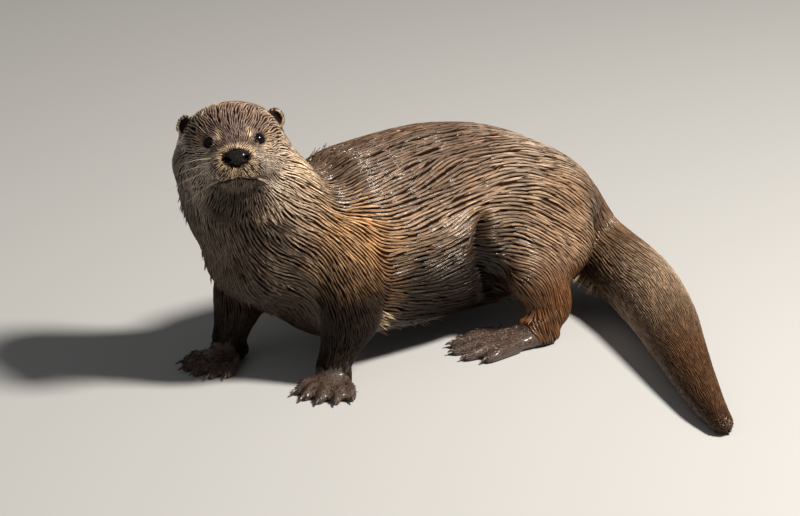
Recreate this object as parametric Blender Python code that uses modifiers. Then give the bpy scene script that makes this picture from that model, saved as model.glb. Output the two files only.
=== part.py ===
"""Eurasian river otter (Lutra lutra), life size, standing with its head raised and turned to its left.

Metres, +Z up, floor at z = 0. -X is the way the body faces, -Y is the otter's left, +X the rump.
The dimensions below are in millimetres and reach to the tips of the coat. MM turns them into metres.
The animal is modelled whole from lofts and balls, fused into soft masses, then parted by thin cuts.
"""
import math

import bmesh
import bpy
import numpy as np
from mathutils import Matrix, Vector
from mathutils.bvhtree import BVHTree

MM = 0.001
GAP = 0.36

# ---- trunk, mm ----
BELLY_Z = 18.0
BACK_Z = 192.0
TRUNK_WIDTH = 157.0
RUMP_X = 347.0

# ---- head: where it is, how it is turned, and what it carries, mm and degrees ----
HEAD_CENTRE = (-52.0, 8.0, 214.0)
HEAD_YAW = 55.0
HEAD_PITCH = 13.0
HEAD_ROLL = 3.3
EYE_RADIUS = 5.8
EYE_SINK = 3.7
EYE_SIDE = 21.8
EYE_HEIGHT = 13.0
EAR_AT = (-13.0, 39.5, 23.5)
EAR_SIZE = (5.4, 9.0, 9.8)
EAR_BOWL = (5.8, 6.5, 7.2)
EAR_BOWL_OUT = 3.8
NOSE_SIZE = (8.0, 12.6, 7.8)
NOSE_OUT = 3.0
NOSE_HEIGHT = -1.5

# ---- limbs: joints from the body down, heel and heading of each foot, mm and degrees ----
LIMBS = {
    "fore_l": {
        "joints": ((32, -46, 108), (24, -60, 58), (10, -59, 30), (3, -60, 16)),
        "heel": (14, -56, 0),
        "heading": 214,
    },
    "fore_r": {
        "joints": ((14, 46, 108), (-10, 54, 60), (-24, 52, 30), (-30, 51, 16)),
        "heel": (-20, 50, 0),
        "heading": 194,
    },
    "hind_l": {
        "joints": ((262, -44, 112), (222, -80, 66), (236, -98, 30), (208, -96, 14)),
        "heel": (226, -100, 0),
        "heading": 163,
    },
    "hind_r": {
        "joints": ((262, 42, 112), (222, 74, 66), (236, 86, 30), (208, 84, 14)),
        "heel": (226, 88, 0),
        "heading": 186,
    },
}
FORE_FOOT = {"length": 66, "width": 46, "fan": 24, "toe": 5.8, "palm": 0.46, "claw": 7.5}
HIND_FOOT = {"length": 100, "width": 54, "fan": 20, "toe": 6.0, "palm": 0.52, "claw": 5.5}
TOE_REACH = (0.80, 0.95, 1.0, 0.97, 0.84)
SOLE_DROP = 1.4
ELBOW_CUT_Z = 64.0
KNEE_CUT_Z = 60.0
ANKLE_CUT_Z = 27.0

# ---- fineness: voxel and smoothing length in mm, and triangles kept ----
CORE_MESH = {"voxel": 3.0, "spread": 9.0, "faces": 1450}
FACE_MESH = {"voxel": 2.0, "spread": 5.0, "faces": 9000}
LIMB_MESH = {"voxel": 2.0, "spread": 3.5, "faces": 500}
FOOT_MESH = {"voxel": 1.3, "spread": 1.4, "faces": 2600}
HEAD_FACES = 1300
FOOT_FACES = 215

# ---- palette: linear colour and roughness ----
PAINTS = {
    "fur_brown": ((0.20, 0.105, 0.045), 0.55),
    "fur_pale": ((0.33, 0.25, 0.17), 0.6),
    "bare_skin": ((0.12, 0.065, 0.05), 0.35),
    "nose_leather": ((0.02, 0.015, 0.015), 0.4),
    "eye": ((0.012, 0.008, 0.006), 0.05),
    "claw_horn": ((0.35, 0.27, 0.19), 0.3),
}


# ---------------------------------------------------------------- scene
def clear_scene():
    for obj in list(bpy.data.objects):
        bpy.data.objects.remove(obj, do_unlink=True)


def collection(name, hidden=False):
    made = bpy.data.collections.new(name)
    bpy.context.scene.collection.children.link(made)
    made.hide_render = hidden
    return made


def material(name, colour, roughness):
    made = bpy.data.materials.new(name)
    made.use_nodes = True
    shader = made.node_tree.nodes["Principled BSDF"]
    shader.inputs["Base Color"].default_value = (*colour, 1.0)
    shader.inputs["Roughness"].default_value = roughness
    shader.inputs["Metallic"].default_value = 0.0
    made.diffuse_color = (*colour, 1.0)
    return made


def painted(obj, paint):
    obj.data.materials.clear()
    obj.data.materials.append(bpy.data.materials[paint])
    return obj


def placed(name, mesh, home):
    """An object in `home`. One in the hidden collection is a helper and shows as a wire."""
    made = bpy.data.objects.new(name, mesh)
    home.objects.link(made)
    if home.hide_render:
        made.hide_render = True
        made.display_type = "WIRE"
    return made


def from_bmesh(name, bm, home):
    mesh = bpy.data.meshes.new(name)
    bm.to_mesh(mesh)
    bm.free()
    return placed(name, mesh, home)


# ---------------------------------------------------------------- shape tools
def spline(table, t):
    """Smooth value at t from a short table of (t, a, b, ...) rows."""
    rows = np.array(table, float)
    x = rows[:, 0]
    y = rows[:, 1:]
    h = np.diff(x)[:, None]
    slope = np.diff(y, axis=0) / h
    tangent = np.zeros_like(y)
    tangent[1:-1] = (slope[:-1] * h[1:] + slope[1:] * h[:-1]) / (h[1:] + h[:-1])
    tangent[0] = slope[0]
    tangent[-1] = slope[-1]
    i = int(np.clip(np.searchsorted(x, t) - 1, 0, len(x) - 2))
    step = x[i + 1] - x[i]
    u = (t - x[i]) / step
    a = (2 * u ** 3 - 3 * u ** 2 + 1) * y[i]
    b = (u ** 3 - 2 * u ** 2 + u) * step * tangent[i]
    c = (-2 * u ** 3 + 3 * u ** 2) * y[i + 1]
    d = (u ** 3 - u ** 2) * step * tangent[i + 1]
    return a + b + c + d


def loft(name, stations, home, rings=24, sides=28, up=(0, 0, 1), low_power=2.0, tips=(0.8, 0.8),
         round_ends=True):
    """Closed body through stations (x, y, z, half_width, half_up, half_down), with rounded ends.

    `tips` is how far each rounded end reaches past its last station, as a share of the half width.
    `low_power` over 2 makes the lower half of each ring squarer.
    """
    table = [(i, *row) for i, row in enumerate(stations)]
    ts = np.linspace(0, len(stations) - 1, rings)
    values = np.array([spline(table, t) for t in ts])
    centres = values[:, :3]
    tangents = np.gradient(centres, axis=0)
    tangents = tangents / np.linalg.norm(tangents, axis=1)[:, None]
    up = np.array(up, float)
    first = centres[0] - tangents[0] * values[0, 3] * tips[0]
    last = centres[-1] + tangents[-1] * values[-1, 3] * tips[1]
    caps = [(0.93, 0.42), (0.66, 0.78)] if round_ends else []
    loops = [(centres[0] + (first - centres[0]) * reach, 0, size) for size, reach in reversed(caps)]
    loops += [(centres[k], k, 1.0) for k in range(rings)]
    loops += [(centres[-1] + (last - centres[-1]) * reach, rings - 1, size) for size, reach in caps]
    bm = bmesh.new()
    made_rings = []
    for centre, k, size in loops:
        side = np.cross(up, tangents[k])
        side = side / np.linalg.norm(side)
        lift = np.cross(tangents[k], side)
        ring = []
        for j in range(sides):
            angle = 2 * math.pi * j / sides
            power = 2 / low_power if math.sin(angle) < 0 else 1.0
            c = math.copysign(abs(math.cos(angle)) ** power, math.cos(angle))
            s = math.copysign(abs(math.sin(angle)) ** power, math.sin(angle))
            height = values[k, 4] if s > 0 else values[k, 5]
            point = centre + side * c * values[k, 3] * size + lift * s * height * size
            ring.append(bm.verts.new(point * MM))
        made_rings.append(ring)
    for a, b in zip(made_rings[:-1], made_rings[1:]):
        for j in range(sides):
            n = (j + 1) % sides
            bm.faces.new((a[j], a[n], b[n], b[j]))
    tip_a = bm.verts.new(first * MM)
    tip_b = bm.verts.new(last * MM)
    for j in range(sides):
        n = (j + 1) % sides
        bm.faces.new((tip_a, made_rings[0][n], made_rings[0][j]))
        bm.faces.new((tip_b, made_rings[-1][j], made_rings[-1][n]))
    bmesh.ops.recalc_face_normals(bm, faces=bm.faces)
    return from_bmesh(name, bm, home)


def ball(name, centre, radii, home, turn, detail=24):
    bm = bmesh.new()
    bmesh.ops.create_uvsphere(bm, u_segments=detail, v_segments=detail // 2, radius=1.0)
    sizes = Matrix.Diagonal((*(Vector(radii) * MM), 1.0))
    place = Matrix.Translation(Vector(centre) * MM) @ turn @ sizes
    bmesh.ops.transform(bm, matrix=place, verts=bm.verts)
    return from_bmesh(name, bm, home)


def half_space(plane, home, shift=0.0):
    """A big block on the far side of the plane (point, normal), moved `shift` mm along the normal."""
    size = 1500
    normal = Vector(plane[1]).normalized()
    bm = bmesh.new()
    bmesh.ops.create_cube(bm, size=size * MM)
    turn = normal.to_track_quat("Z", "Y").to_matrix().to_4x4()
    middle = Vector(plane[0]) + normal * (size / 2 + shift)
    bmesh.ops.transform(bm, matrix=Matrix.Translation(middle * MM) @ turn, verts=bm.verts)
    return from_bmesh("half_space", bm, home)


def settled(obj):
    """Replaces the object's mesh by what its modifiers make of it."""
    bpy.context.view_layer.update()
    graph = bpy.context.evaluated_depsgraph_get()
    mesh = bpy.data.meshes.new_from_object(obj.evaluated_get(graph))
    obj.modifiers.clear()
    obj.data = mesh
    return obj


def copied(name, source, home):
    return placed(name, source.data.copy(), home)


def boolean(obj, other, operation="DIFFERENCE"):
    cut = obj.modifiers.new("cut", "BOOLEAN")
    cut.operation = operation
    cut.solver = "EXACT"
    cut.object = other
    return settled(obj)


def fewer_faces(obj, faces):
    count = sum(len(p.vertices) - 2 for p in obj.data.polygons)
    fewer = obj.modifiers.new("fewer", "DECIMATE")
    fewer.ratio = min(1.0, faces / count)
    return settled(obj)


def fused(name, pieces, home, voxel, spread, faces, softness=None):
    """One skin round all the pieces: voxel remesh, smoothing over `spread` mm, then fewer faces.

    `softness` gives, for a point in millimetres, the share of the smoothing that it takes.
    """
    bm = bmesh.new()
    for piece in pieces:
        bm.from_mesh(piece.data)
    made = from_bmesh(name, bm, home)
    remesh = made.modifiers.new("weld", "REMESH")
    remesh.mode = "VOXEL"
    remesh.voxel_size = voxel * MM
    settled(made)
    smooth = made.modifiers.new("soften", "SMOOTH")
    smooth.factor = 0.5
    smooth.iterations = max(1, int(round((spread / voxel) ** 2 * 2)))
    if softness is not None:
        group = made.vertex_groups.new(name="softness")
        for vertex in made.data.vertices:
            share = min(1.0, max(0.0, softness(vertex.co / MM)))
            group.add([vertex.index], share, "REPLACE")
        smooth.vertex_group = group.name
    settled(made)
    return fewer_faces(made, faces)


def swelled(source, home):
    """A copy of the source one gap larger all round, to cut its neighbours by."""
    made = copied("swelled", source, home)
    swell = made.modifiers.new("swell", "DISPLACE")
    swell.strength = GAP * MM
    swell.mid_level = 0.0
    return settled(made)


def largest_piece(obj):
    """Drops the crumbs that a cut leaves and keeps the one big shell."""
    bm = bmesh.new()
    bm.from_mesh(obj.data)
    left = set(bm.verts)
    shells = []
    while left:
        start = left.pop()
        shell = {start}
        front = [start]
        while front:
            for edge in front.pop().link_edges:
                for vertex in edge.verts:
                    if vertex in left:
                        left.discard(vertex)
                        shell.add(vertex)
                        front.append(vertex)
        shells.append(shell)
    shells.sort(key=len)
    for shell in shells[:-1]:
        bmesh.ops.delete(bm, geom=list(shell), context="VERTS")
    bm.to_mesh(obj.data)
    bm.free()
    return obj


def part_of(name, source, keep, paint, parts, work):
    """A node: the share of `source` behind every plane of `keep`.

    A plane is (point, normal), and what lies along its normal is cut off, half a gap early.
    """
    made = copied(name, source, parts)
    for plane in keep:
        boolean(made, half_space(plane, work, -GAP / 2))
    return painted(made, paint)


def flipped(plane):
    point, normal = plane
    return (point, tuple(-c for c in normal))


def surface_hit(obj, start, direction):
    """First point and normal of the object met from `start` (mm) along `direction`."""
    points = [v.co / MM for v in obj.data.vertices]
    faces = [tuple(p.vertices) for p in obj.data.polygons]
    point, normal, _, _ = BVHTree.FromPolygons(points, faces).ray_cast(start, direction)
    return point, normal


# ---------------------------------------------------------------- head frame
def head_matrix():
    """Head frame: local +X is forward to the nose, +Y the otter's left, +Z the crown."""
    turn = Matrix.Rotation(math.radians(180 + HEAD_YAW), 4, "Z")
    turn = turn @ Matrix.Rotation(math.radians(-HEAD_PITCH), 4, "Y")
    turn = turn @ Matrix.Rotation(math.radians(HEAD_ROLL), 4, "X")
    return Matrix.Translation(Vector(HEAD_CENTRE)) @ turn


HEAD = head_matrix()
HEAD_TURN = HEAD.to_3x3().to_4x4()
FORWARD = HEAD.to_3x3() @ Vector((1, 0, 0))


def at_head(forward, left, up):
    return HEAD @ Vector((forward, left, up))


# ---------------------------------------------------------------- planes between the named parts
# Each is a point and the way out of the part named first.
OCCIPUT = (at_head(-34, 0, -20), HEAD.to_3x3() @ Vector((-0.55, 0, -0.83)))
NECK_BASE = ((6, 4, 146), (0.68, -0.10, -0.73))
RIBS = ((112, 0, 100), (1, 0, 0))
FLANK = ((205, 0, 100), (1, 0, 0))
TAIL_ROOT = ((338, -20, 66), (0.80, -0.55, -0.25))
TAIL_CUTS = [
    ((344, -88, 40), (-0.25, -0.97, 0)),
    ((300, -176, 31), (-0.48, -0.88, 0)),
    ((250, -257, 24), (-0.53, -0.85, 0)),
]
FLOOR = ((0, 0, 0), (0, 0, -1))
ANKLE = ((0, 0, ANKLE_CUT_Z), (0, 0, 1))


# ---------------------------------------------------------------- trunk, neck and tail
def trunk(work):
    """Breast, ribs, loin and rump along the arched back."""
    wide = TRUNK_WIDTH / 2
    mid = (BACK_Z + BELLY_Z) / 2
    half = (BACK_Z - BELLY_Z) / 2
    stations = [
        (-32, 4, 122, 54, 46, 52),
        (-2, 3, 121, 67, 55, 62),
        (42, 0, mid + 5, wide - 3, half - 8, half - 2),
        (78, 0, mid + 4, wide - 1, half - 1.5, half),
        (120, 0, mid + 2, wide - 1, half + 2.5, half + 1),
        (180, 0, mid, wide - 2, half + 2.5, half),
        (245, -1, mid - 5, wide + 2, half - 9, half - 6),
        (RUMP_X - 52, -4, 94, wide - 3, 58, 61),
        (RUMP_X - 23, -9, 78, 58, 46, 48),
        (RUMP_X - 7, -16, 62, 43, 37, 38),
    ]
    return loft("trunk_mass", stations, work, rings=40, sides=40, low_power=2.6)


def neck(work):
    """Thick neck from the breast up to the skull. Its upper half faces the throat."""
    stations = [
        (16, 4, 112, 65, 69, 54),
        (-2, 7, 136, 67, 69, 52),
        (-21, 13, 160, 67, 66, 50),
        (-35, 20, 184, 63, 58, 49),
        (-42, 23, 207, 55, 44, 45),
    ]
    return loft("neck_mass", stations, work, rings=20, sides=36, up=(-1, 0, 0))


def tail(work):
    """Tail from the rump round to the otter's left and along the floor."""
    stations = [
        (317, -8, 77, 47, 38, 41),
        (336, -25, 58, 41, 32, 37),
        (343, -57, 45, 37, 29, 36),
        (336, -97, 39, 35, 29, 35),
        (320, -137, 34.5, 33.5, 29, 35),
        (295, -184, 30, 30.5, 27.5, 32),
        (264, -234, 25, 25.5, 23, 27.5),
        (232, -286, 19.5, 20.5, 18, 22.5),
        (204, -334, 14, 15.5, 13.5, 17),
        (187, -370, 9.5, 10.5, 9, 12.5),
    ]
    return loft("tail_mass", stations, work, rings=48, sides=28)


def body_softness(point):
    """Full smoothing on the trunk and less towards the tail's end."""
    along_tail = (point.y + 340) / 200 if point.y < -140 else 1.0
    return 0.1 + 0.9 * along_tail


def make_trunk_and_tail(core, parts, work):
    boolean(core, half_space(FLOOR, work))
    part_of("neck", core, [flipped(OCCIPUT), NECK_BASE], "fur_pale", parts, work)
    part_of("chest", core, [flipped(NECK_BASE), RIBS], "fur_pale", parts, work)
    part_of("ribs", core, [flipped(RIBS), FLANK, TAIL_ROOT], "fur_brown", parts, work)
    part_of("rump", core, [flipped(FLANK), TAIL_ROOT], "fur_brown", parts, work)
    whole_tail = part_of("whole_tail", core, [flipped(TAIL_ROOT)], "fur_brown", work, work)
    starts = [flipped(cut) for cut in TAIL_CUTS]
    for k in range(len(TAIL_CUTS) + 1):
        keep = (starts[k - 1:k] if k else []) + TAIL_CUTS[k:k + 1]
        part_of("tail_%d" % (k + 1), whole_tail, keep, "fur_brown", parts, work)


# ---------------------------------------------------------------- head
def skull_masses(work):
    """Broad flat skull, short muzzle and the pads, cheeks and brows on it, all in the head frame."""
    def station(forward, up, wide, high, low):
        return (*at_head(forward, 0, up), wide, high, low)

    def bump(name, forward, side, up, radii):
        return ball(name, at_head(forward, side, up), radii, work, HEAD_TURN)

    stations = [
        station(-44, 2, 43, 31, 37),
        station(-32, 5, 46.5, 34.5, 39),
        station(-14, 7, 45.5, 35.5, 39),
        station(4, 6, 43.5, 34, 37),
        station(18, 3, 39, 30, 34),
        station(30, -1, 34.5, 24.5, 30),
        station(42, -4, 30, 19, 26.5),
        station(51, -6, 27, 16, 23),
        station(58, -7, 23, 13, 18.5),
    ]
    crown = HEAD.to_3x3() @ Vector((0, 0, 1))
    masses = [loft("skull", stations, work, rings=36, sides=40, up=crown, tips=(0.7, 0.4))]
    for side in (-1, 1):
        masses.append(bump("whisker_pad", 49, 12.5 * side, -9.5, (17, 15.5, 13)))
        masses.append(bump("cheek", -22, 27.5 * side, -11, (34, 26.5, 28)))
        masses.append(bump("jowl", 8, 24 * side, -14, (30, 20, 22)))
        masses.append(bump("brow", 17, 20 * side, 15.5, (16, 11, 9)))
        masses.append(bump("lip", 32, 19 * side, -13, (20, 14, 14)))
    masses.append(bump("chin", 44, 0, -22, (18, 16, 10)))
    masses.append(bump("bridge", 46, 0, 2, (20, 13, 9.5)))
    return masses


def make_eye(tag, side, skull, parts, work):
    """The eyeball as a node, and the socket that holds it one gap away."""
    start = at_head(120, EYE_SIDE * side, EYE_HEIGHT)
    point, normal = surface_hit(skull, start, -FORWARD)
    centre = point - normal * EYE_SINK
    eye = ball("eye_" + tag, centre, (EYE_RADIUS,) * 3, parts, HEAD_TURN, 12)
    painted(eye, "eye")
    return ball("socket_" + tag, centre, (EYE_RADIUS + GAP,) * 3, work, HEAD_TURN, 12)


def make_nose(skull, parts, work):
    """The bare nose pad as a node, and the bed that holds it one gap away."""
    point, _ = surface_hit(skull, at_head(120, 0, NOSE_HEIGHT), -FORWARD)
    centre = point - FORWARD * (NOSE_SIZE[0] - NOSE_OUT)
    painted(ball("nose", centre, NOSE_SIZE, parts, HEAD_TURN, 14), "nose_leather")
    return ball("nose_bed", centre, [c + GAP for c in NOSE_SIZE], work, HEAD_TURN, 14)


def make_ear(tag, side, swollen_skull, parts, work):
    """Small cupped ear: a flattened bowl open to the front and a little outward."""
    facing = (HEAD.to_3x3() @ Vector((0.80, 0.60 * side, 0.10))).normalized()
    turn = facing.to_track_quat("X", "Z").to_matrix().to_4x4()
    centre = at_head(EAR_AT[0], EAR_AT[1] * side, EAR_AT[2])
    shell = ball("ear_" + tag, centre, EAR_SIZE, parts, turn, 14)
    bowl = ball("ear_bowl", centre + facing * EAR_BOWL_OUT, EAR_BOWL, work, turn, 12)
    boolean(shell, bowl)
    boolean(shell, swollen_skull)
    painted(largest_piece(shell), "fur_brown")


def make_head(face, parts, work):
    head = copied("head", face, parts)
    boolean(head, half_space(OCCIPUT, work, -GAP / 2))
    fewer_faces(head, HEAD_FACES)
    beds = []
    for tag, side in (("l", 1), ("r", -1)):
        beds.append(make_eye(tag, side, head, parts, work))
    beds.append(make_nose(head, parts, work))
    swollen = swelled(head, work)
    for tag, side in (("l", 1), ("r", -1)):
        make_ear(tag, side, swollen, parts, work)
    for bed in beds:
        boolean(head, bed)
    painted(head, "fur_brown")


# ---------------------------------------------------------------- limbs
def between(a, b, share):
    return Vector(a).lerp(Vector(b), share)


def fore_limb(work, shoulder, elbow, wrist, palm):
    """Upper arm and forearm as two masses that overlap at the elbow."""
    upper = [
        (*shoulder, 34, 46, 44),
        (*between(shoulder, elbow, 1 / 2), 31, 38, 38),
        (*elbow, 26, 31, 29),
    ]
    lower = [
        (*elbow, 26, 30, 28),
        (*between(elbow, wrist, 1 / 2), 22, 24, 23),
        (*wrist, 17, 18.5, 17),
        (*palm, 15, 14, 14),
    ]
    return [
        loft("arm_mass", upper, work, rings=14, sides=24, up=(1, 0, 0)),
        loft("forearm_mass", lower, work, rings=16, sides=24, up=(1, 0, 0)),
    ]


def hind_limb(work, hip, knee, hock, instep):
    """Broad thigh and the shank under it as two masses that overlap at the knee."""
    thigh = [
        (*hip, 30, 60, 62),
        (*between(hip, knee, 1 / 3), 31, 64, 60),
        (*between(hip, knee, 2 / 3), 28, 58, 50),
        (*knee, 22, 42, 34),
    ]
    shank = [
        (*knee, 23, 42, 34),
        (*between(knee, hock, 1 / 2), 19, 32, 26),
        (*hock, 15.5, 18, 18),
        (*instep, 15, 13, 12),
    ]
    return [
        loft("thigh_mass", thigh, work, rings=14, sides=28, up=(1, 0, 0)),
        loft("shank_mass", shank, work, rings=16, sides=24, up=(1, 0, 0)),
    ]


def foot(work, heel, heading, size):
    """Flat webbed foot: a sole and five toes fanned about `heading`. Also gives each toe's tip and way."""
    r = size["toe"]
    length = size["length"]
    width = size["width"]
    palm = length * size["palm"]
    rise = Vector((0, 0, 1))
    ahead = Vector((math.cos(math.radians(heading)), math.sin(math.radians(heading)), 0))
    across = Vector((-ahead.y, ahead.x, 0))
    start = Vector(heel) - rise * SOLE_DROP
    stations = [
        (*(start + rise * 11), width * 0.27, 10, 12),
        (*(start + ahead * palm * 0.5 + rise * 9.5), width * 0.36, 9, 10.5),
        (*(start + ahead * palm + rise * 7.5), width * 0.44, 7, 8.5),
    ]
    pieces = [loft("sole", stations, work, rings=12, sides=24)]
    toes = []
    for k, reach in enumerate(TOE_REACH):
        lean = (k - 2) / 2
        angle = math.radians(heading + size["fan"] * lean)
        out = Vector((math.cos(angle), math.sin(angle), 0))
        base = start + ahead * palm * 0.72 + across * width * 0.33 * lean
        tip = base + out * (length * reach - palm * 0.72 - r)
        stations = [
            (*(base + rise * (r + 1.5)), r * 0.95, r, r + 1),
            (*(base.lerp(tip, 0.52) + rise * (r + 2.2)), r * 1.05, r * 1.1, r * 1.25),
            (*(base.lerp(tip, 0.85) + rise * r * 0.9), r * 0.95, r * 0.95, r),
            (*(tip + rise * r * 0.75), r * 0.72, r * 0.75, r * 0.8),
        ]
        pieces.append(loft("toe", stations, work, rings=12, sides=16))
        toes.append((tip, out))
    return pieces, toes


def claw(name, tip, out, size, home, grow=0.0):
    """Curved horn cone leaving the top of the toe's tip and bending to the floor."""
    base = tip + out * (size["toe"] * 0.15) + Vector((0, 0, size["toe"] * 1.05 + 0.4))
    stations = []
    for share, radius, drop in ((0.0, 1.9, 0.0), (0.5, 1.5, 0.3), (1.0, 0.6, 1.7)):
        point = base + out * (size["claw"] * share) - Vector((0, 0, drop))
        stations.append((*point, radius * 0.8 + grow, radius + grow, radius + grow))
    return loft(name, stations, home, rings=3, sides=6, tips=(0.8, 0.9), round_ends=False)


def make_limb(key, swollen_core, parts, work):
    plan = LIMBS[key]
    fore = key.startswith("fore")
    size = FORE_FOOT if fore else HIND_FOOT
    names = ("upper_arm_", "forearm_", "forepaw_") if fore else ("thigh_", "shank_", "hindfoot_")
    upper, lower, paw = [name + key[-1] for name in names]
    joint = ((0, 0, ELBOW_CUT_Z if fore else KNEE_CUT_Z), (0, 0, -1))
    masses = (fore_limb if fore else hind_limb)(work, *plan["joints"])
    sole, toes = foot(work, plan["heel"], plan["heading"], size)

    limb = fused("limb_" + key, masses + sole, work, **LIMB_MESH)
    boolean(limb, swollen_core)
    largest_piece(limb)
    part_of(upper, limb, [joint], "fur_brown", parts, work)
    part_of(lower, limb, [flipped(joint), flipped(ANKLE)], "fur_brown", parts, work)

    fine = fused("foot_" + key, masses[1:] + sole, work, **FOOT_MESH)
    boolean(fine, half_space(ANKLE, work, 4.0))
    largest_piece(fine)
    fewer_faces(fine, FOOT_FACES)
    boolean(fine, half_space(FLOOR, work))
    made = part_of(paw, fine, [ANKLE], "bare_skin", parts, work)
    for k, (tip, out) in enumerate(toes):
        painted(claw("claw_%s_%d" % (key, k + 1), tip, out, size, parts), "claw_horn")
        boolean(made, claw("claw_bed", tip, out, size, work, GAP))
    largest_piece(made)


# ---------------------------------------------------------------- whole animal
def centre_on_floor(parts):
    """Puts the origin under the middle of the bounding box, on the floor."""
    corners = np.array([tuple(v.co) for obj in parts.objects for v in obj.data.vertices])
    middle = (corners.min(axis=0) + corners.max(axis=0)) / 2
    for obj in parts.objects:
        obj.data.transform(Matrix.Translation((-middle[0], -middle[1], 0)))
        obj.data.shade_smooth()


def main():
    clear_scene()
    parts = collection("river_otter")
    work = collection("workings", hidden=True)
    for name, (colour, roughness) in PAINTS.items():
        material(name, colour, roughness)
    trunk_mass = trunk(work)
    neck_mass = neck(work)
    skull = skull_masses(work)
    core = fused("core", [trunk_mass, neck_mass, tail(work)] + skull, work, softness=body_softness,
                 **CORE_MESH)
    face = fused("face", [neck_mass, trunk_mass] + skull, work, **FACE_MESH)
    make_head(face, parts, work)
    make_trunk_and_tail(core, parts, work)
    swollen_core = swelled(core, work)
    for key in LIMBS:
        make_limb(key, swollen_core, parts, work)
    centre_on_floor(parts)


main()
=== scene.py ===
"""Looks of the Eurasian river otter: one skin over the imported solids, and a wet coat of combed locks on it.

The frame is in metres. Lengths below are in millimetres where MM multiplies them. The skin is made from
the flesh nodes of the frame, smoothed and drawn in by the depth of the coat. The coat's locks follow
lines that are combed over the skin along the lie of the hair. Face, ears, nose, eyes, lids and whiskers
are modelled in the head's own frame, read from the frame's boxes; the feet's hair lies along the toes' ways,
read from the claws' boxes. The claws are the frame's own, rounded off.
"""
import math

import bmesh
import bpy
import numpy as np
from mathutils import Matrix, Vector
from mathutils.bvhtree import BVHTree
from mathutils.interpolate import poly_3d_calc


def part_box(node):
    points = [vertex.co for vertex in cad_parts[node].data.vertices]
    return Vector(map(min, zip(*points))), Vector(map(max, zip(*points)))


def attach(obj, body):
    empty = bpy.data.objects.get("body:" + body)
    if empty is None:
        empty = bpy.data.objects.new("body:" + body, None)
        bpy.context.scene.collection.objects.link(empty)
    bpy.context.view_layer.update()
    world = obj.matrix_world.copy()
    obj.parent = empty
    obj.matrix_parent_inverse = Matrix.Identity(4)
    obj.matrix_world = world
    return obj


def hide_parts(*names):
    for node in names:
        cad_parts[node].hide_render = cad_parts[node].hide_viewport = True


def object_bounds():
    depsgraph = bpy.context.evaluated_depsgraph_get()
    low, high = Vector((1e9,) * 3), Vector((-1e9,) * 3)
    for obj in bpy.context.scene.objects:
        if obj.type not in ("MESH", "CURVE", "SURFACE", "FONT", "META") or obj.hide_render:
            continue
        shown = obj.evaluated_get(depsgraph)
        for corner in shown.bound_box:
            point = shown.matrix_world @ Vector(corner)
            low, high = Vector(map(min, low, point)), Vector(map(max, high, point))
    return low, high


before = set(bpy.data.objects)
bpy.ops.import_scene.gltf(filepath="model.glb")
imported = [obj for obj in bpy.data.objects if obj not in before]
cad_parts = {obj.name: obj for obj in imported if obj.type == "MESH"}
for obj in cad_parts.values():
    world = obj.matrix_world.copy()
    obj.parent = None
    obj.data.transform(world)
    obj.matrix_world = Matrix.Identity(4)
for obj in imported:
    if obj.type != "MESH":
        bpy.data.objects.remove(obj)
CAD_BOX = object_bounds()

MM = 0.001

# ---- which nodes are flesh ----
SIDES = ("l", "r")
SIGN = {"l": 1, "r": -1}
HEAD_NODES = ["head", "ear_l", "ear_r"]
TRUNK_NODES = ["neck", "chest", "ribs", "rump"]
TAIL_NODES = ["tail_1", "tail_2", "tail_3", "tail_4"]
LEG_NODES = [part + "_" + s for s in SIDES for part in ("upper_arm", "forearm", "thigh", "shank")]
FOOT_NODES = [part + "_" + s for s in SIDES for part in ("forepaw", "hindfoot")]
FLESH = HEAD_NODES + TRUNK_NODES + TAIL_NODES + LEG_NODES + FOOT_NODES

# ---- skin, mm ----
OVERLAP = 0.3
BASE_VOXEL = 3.0
FINE_VOXEL = 1.0
SKIN_FACES = 170000


# ---------------------------------------------------------------- frames read from the boxes
def middle(node):
    """The middle of a node's box."""
    low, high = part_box(node)
    return np.array((low + high) / 2)


def unit(v):
    v = np.asarray(v, float)
    return v / np.maximum(np.linalg.norm(v, axis=-1, keepdims=True), 1e-12)


def ramp(low, high, x):
    """0 at low, 1 at high, and a soft S between them."""
    t = np.clip((x - low) / (high - low), 0, 1)
    return t * t * (3 - 2 * t)


def bell(x, width, power=2):
    """1 where x is 0, falling away over the width."""
    return np.exp(-(x / width) ** power)


def far(v):
    """Length of each vector."""
    return np.linalg.norm(v, axis=-1)


EYES = {s: middle("eye_" + s) for s in SIDES}
NOSE = middle("nose")
BROW_TO_NOSE = math.radians(26.8)
EYES_FORWARD = 37.5
EYES_UP = 10.5


def head_axes():
    """Rows: forward to the nose, the otter's left, and up to the crown."""
    between = (EYES["l"] + EYES["r"]) / 2
    left = unit(EYES["l"] - EYES["r"])
    slope = unit(NOSE - between)
    slope = unit(slope - left * (slope @ left))
    rise = np.cross(slope, left)
    forward = slope * math.cos(BROW_TO_NOSE) + rise * math.sin(BROW_TO_NOSE)
    return np.array([forward, left, np.cross(forward, left)])


HEAD_AXES = head_axes()
HEAD_ORIGIN = (EYES["l"] + EYES["r"]) / 2 - (HEAD_AXES[0] * EYES_FORWARD + HEAD_AXES[2] * EYES_UP) * MM


def at_head(forward, left, up):
    """A point of the head's frame, given in mm, in the row's frame."""
    return HEAD_ORIGIN + (forward * HEAD_AXES[0] + left * HEAD_AXES[1] + up * HEAD_AXES[2]) * MM


def in_head(points):
    """Points of the row's frame in the head's frame, in mm."""
    return (np.asarray(points) - HEAD_ORIGIN) @ HEAD_AXES.T / MM


BACK_OF_HEAD = at_head(-40, 0, -12)
NOSE_BRIDGE = at_head(62, 0, -3)
CHEST = middle("chest")
HIP = middle("thigh_l")[2]


# ---------------------------------------------------------------- mesh tools
def placed(name, data):
    """A new object of the scene."""
    made = bpy.data.objects.new(name, data)
    bpy.context.scene.collection.objects.link(made)
    return made


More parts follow.
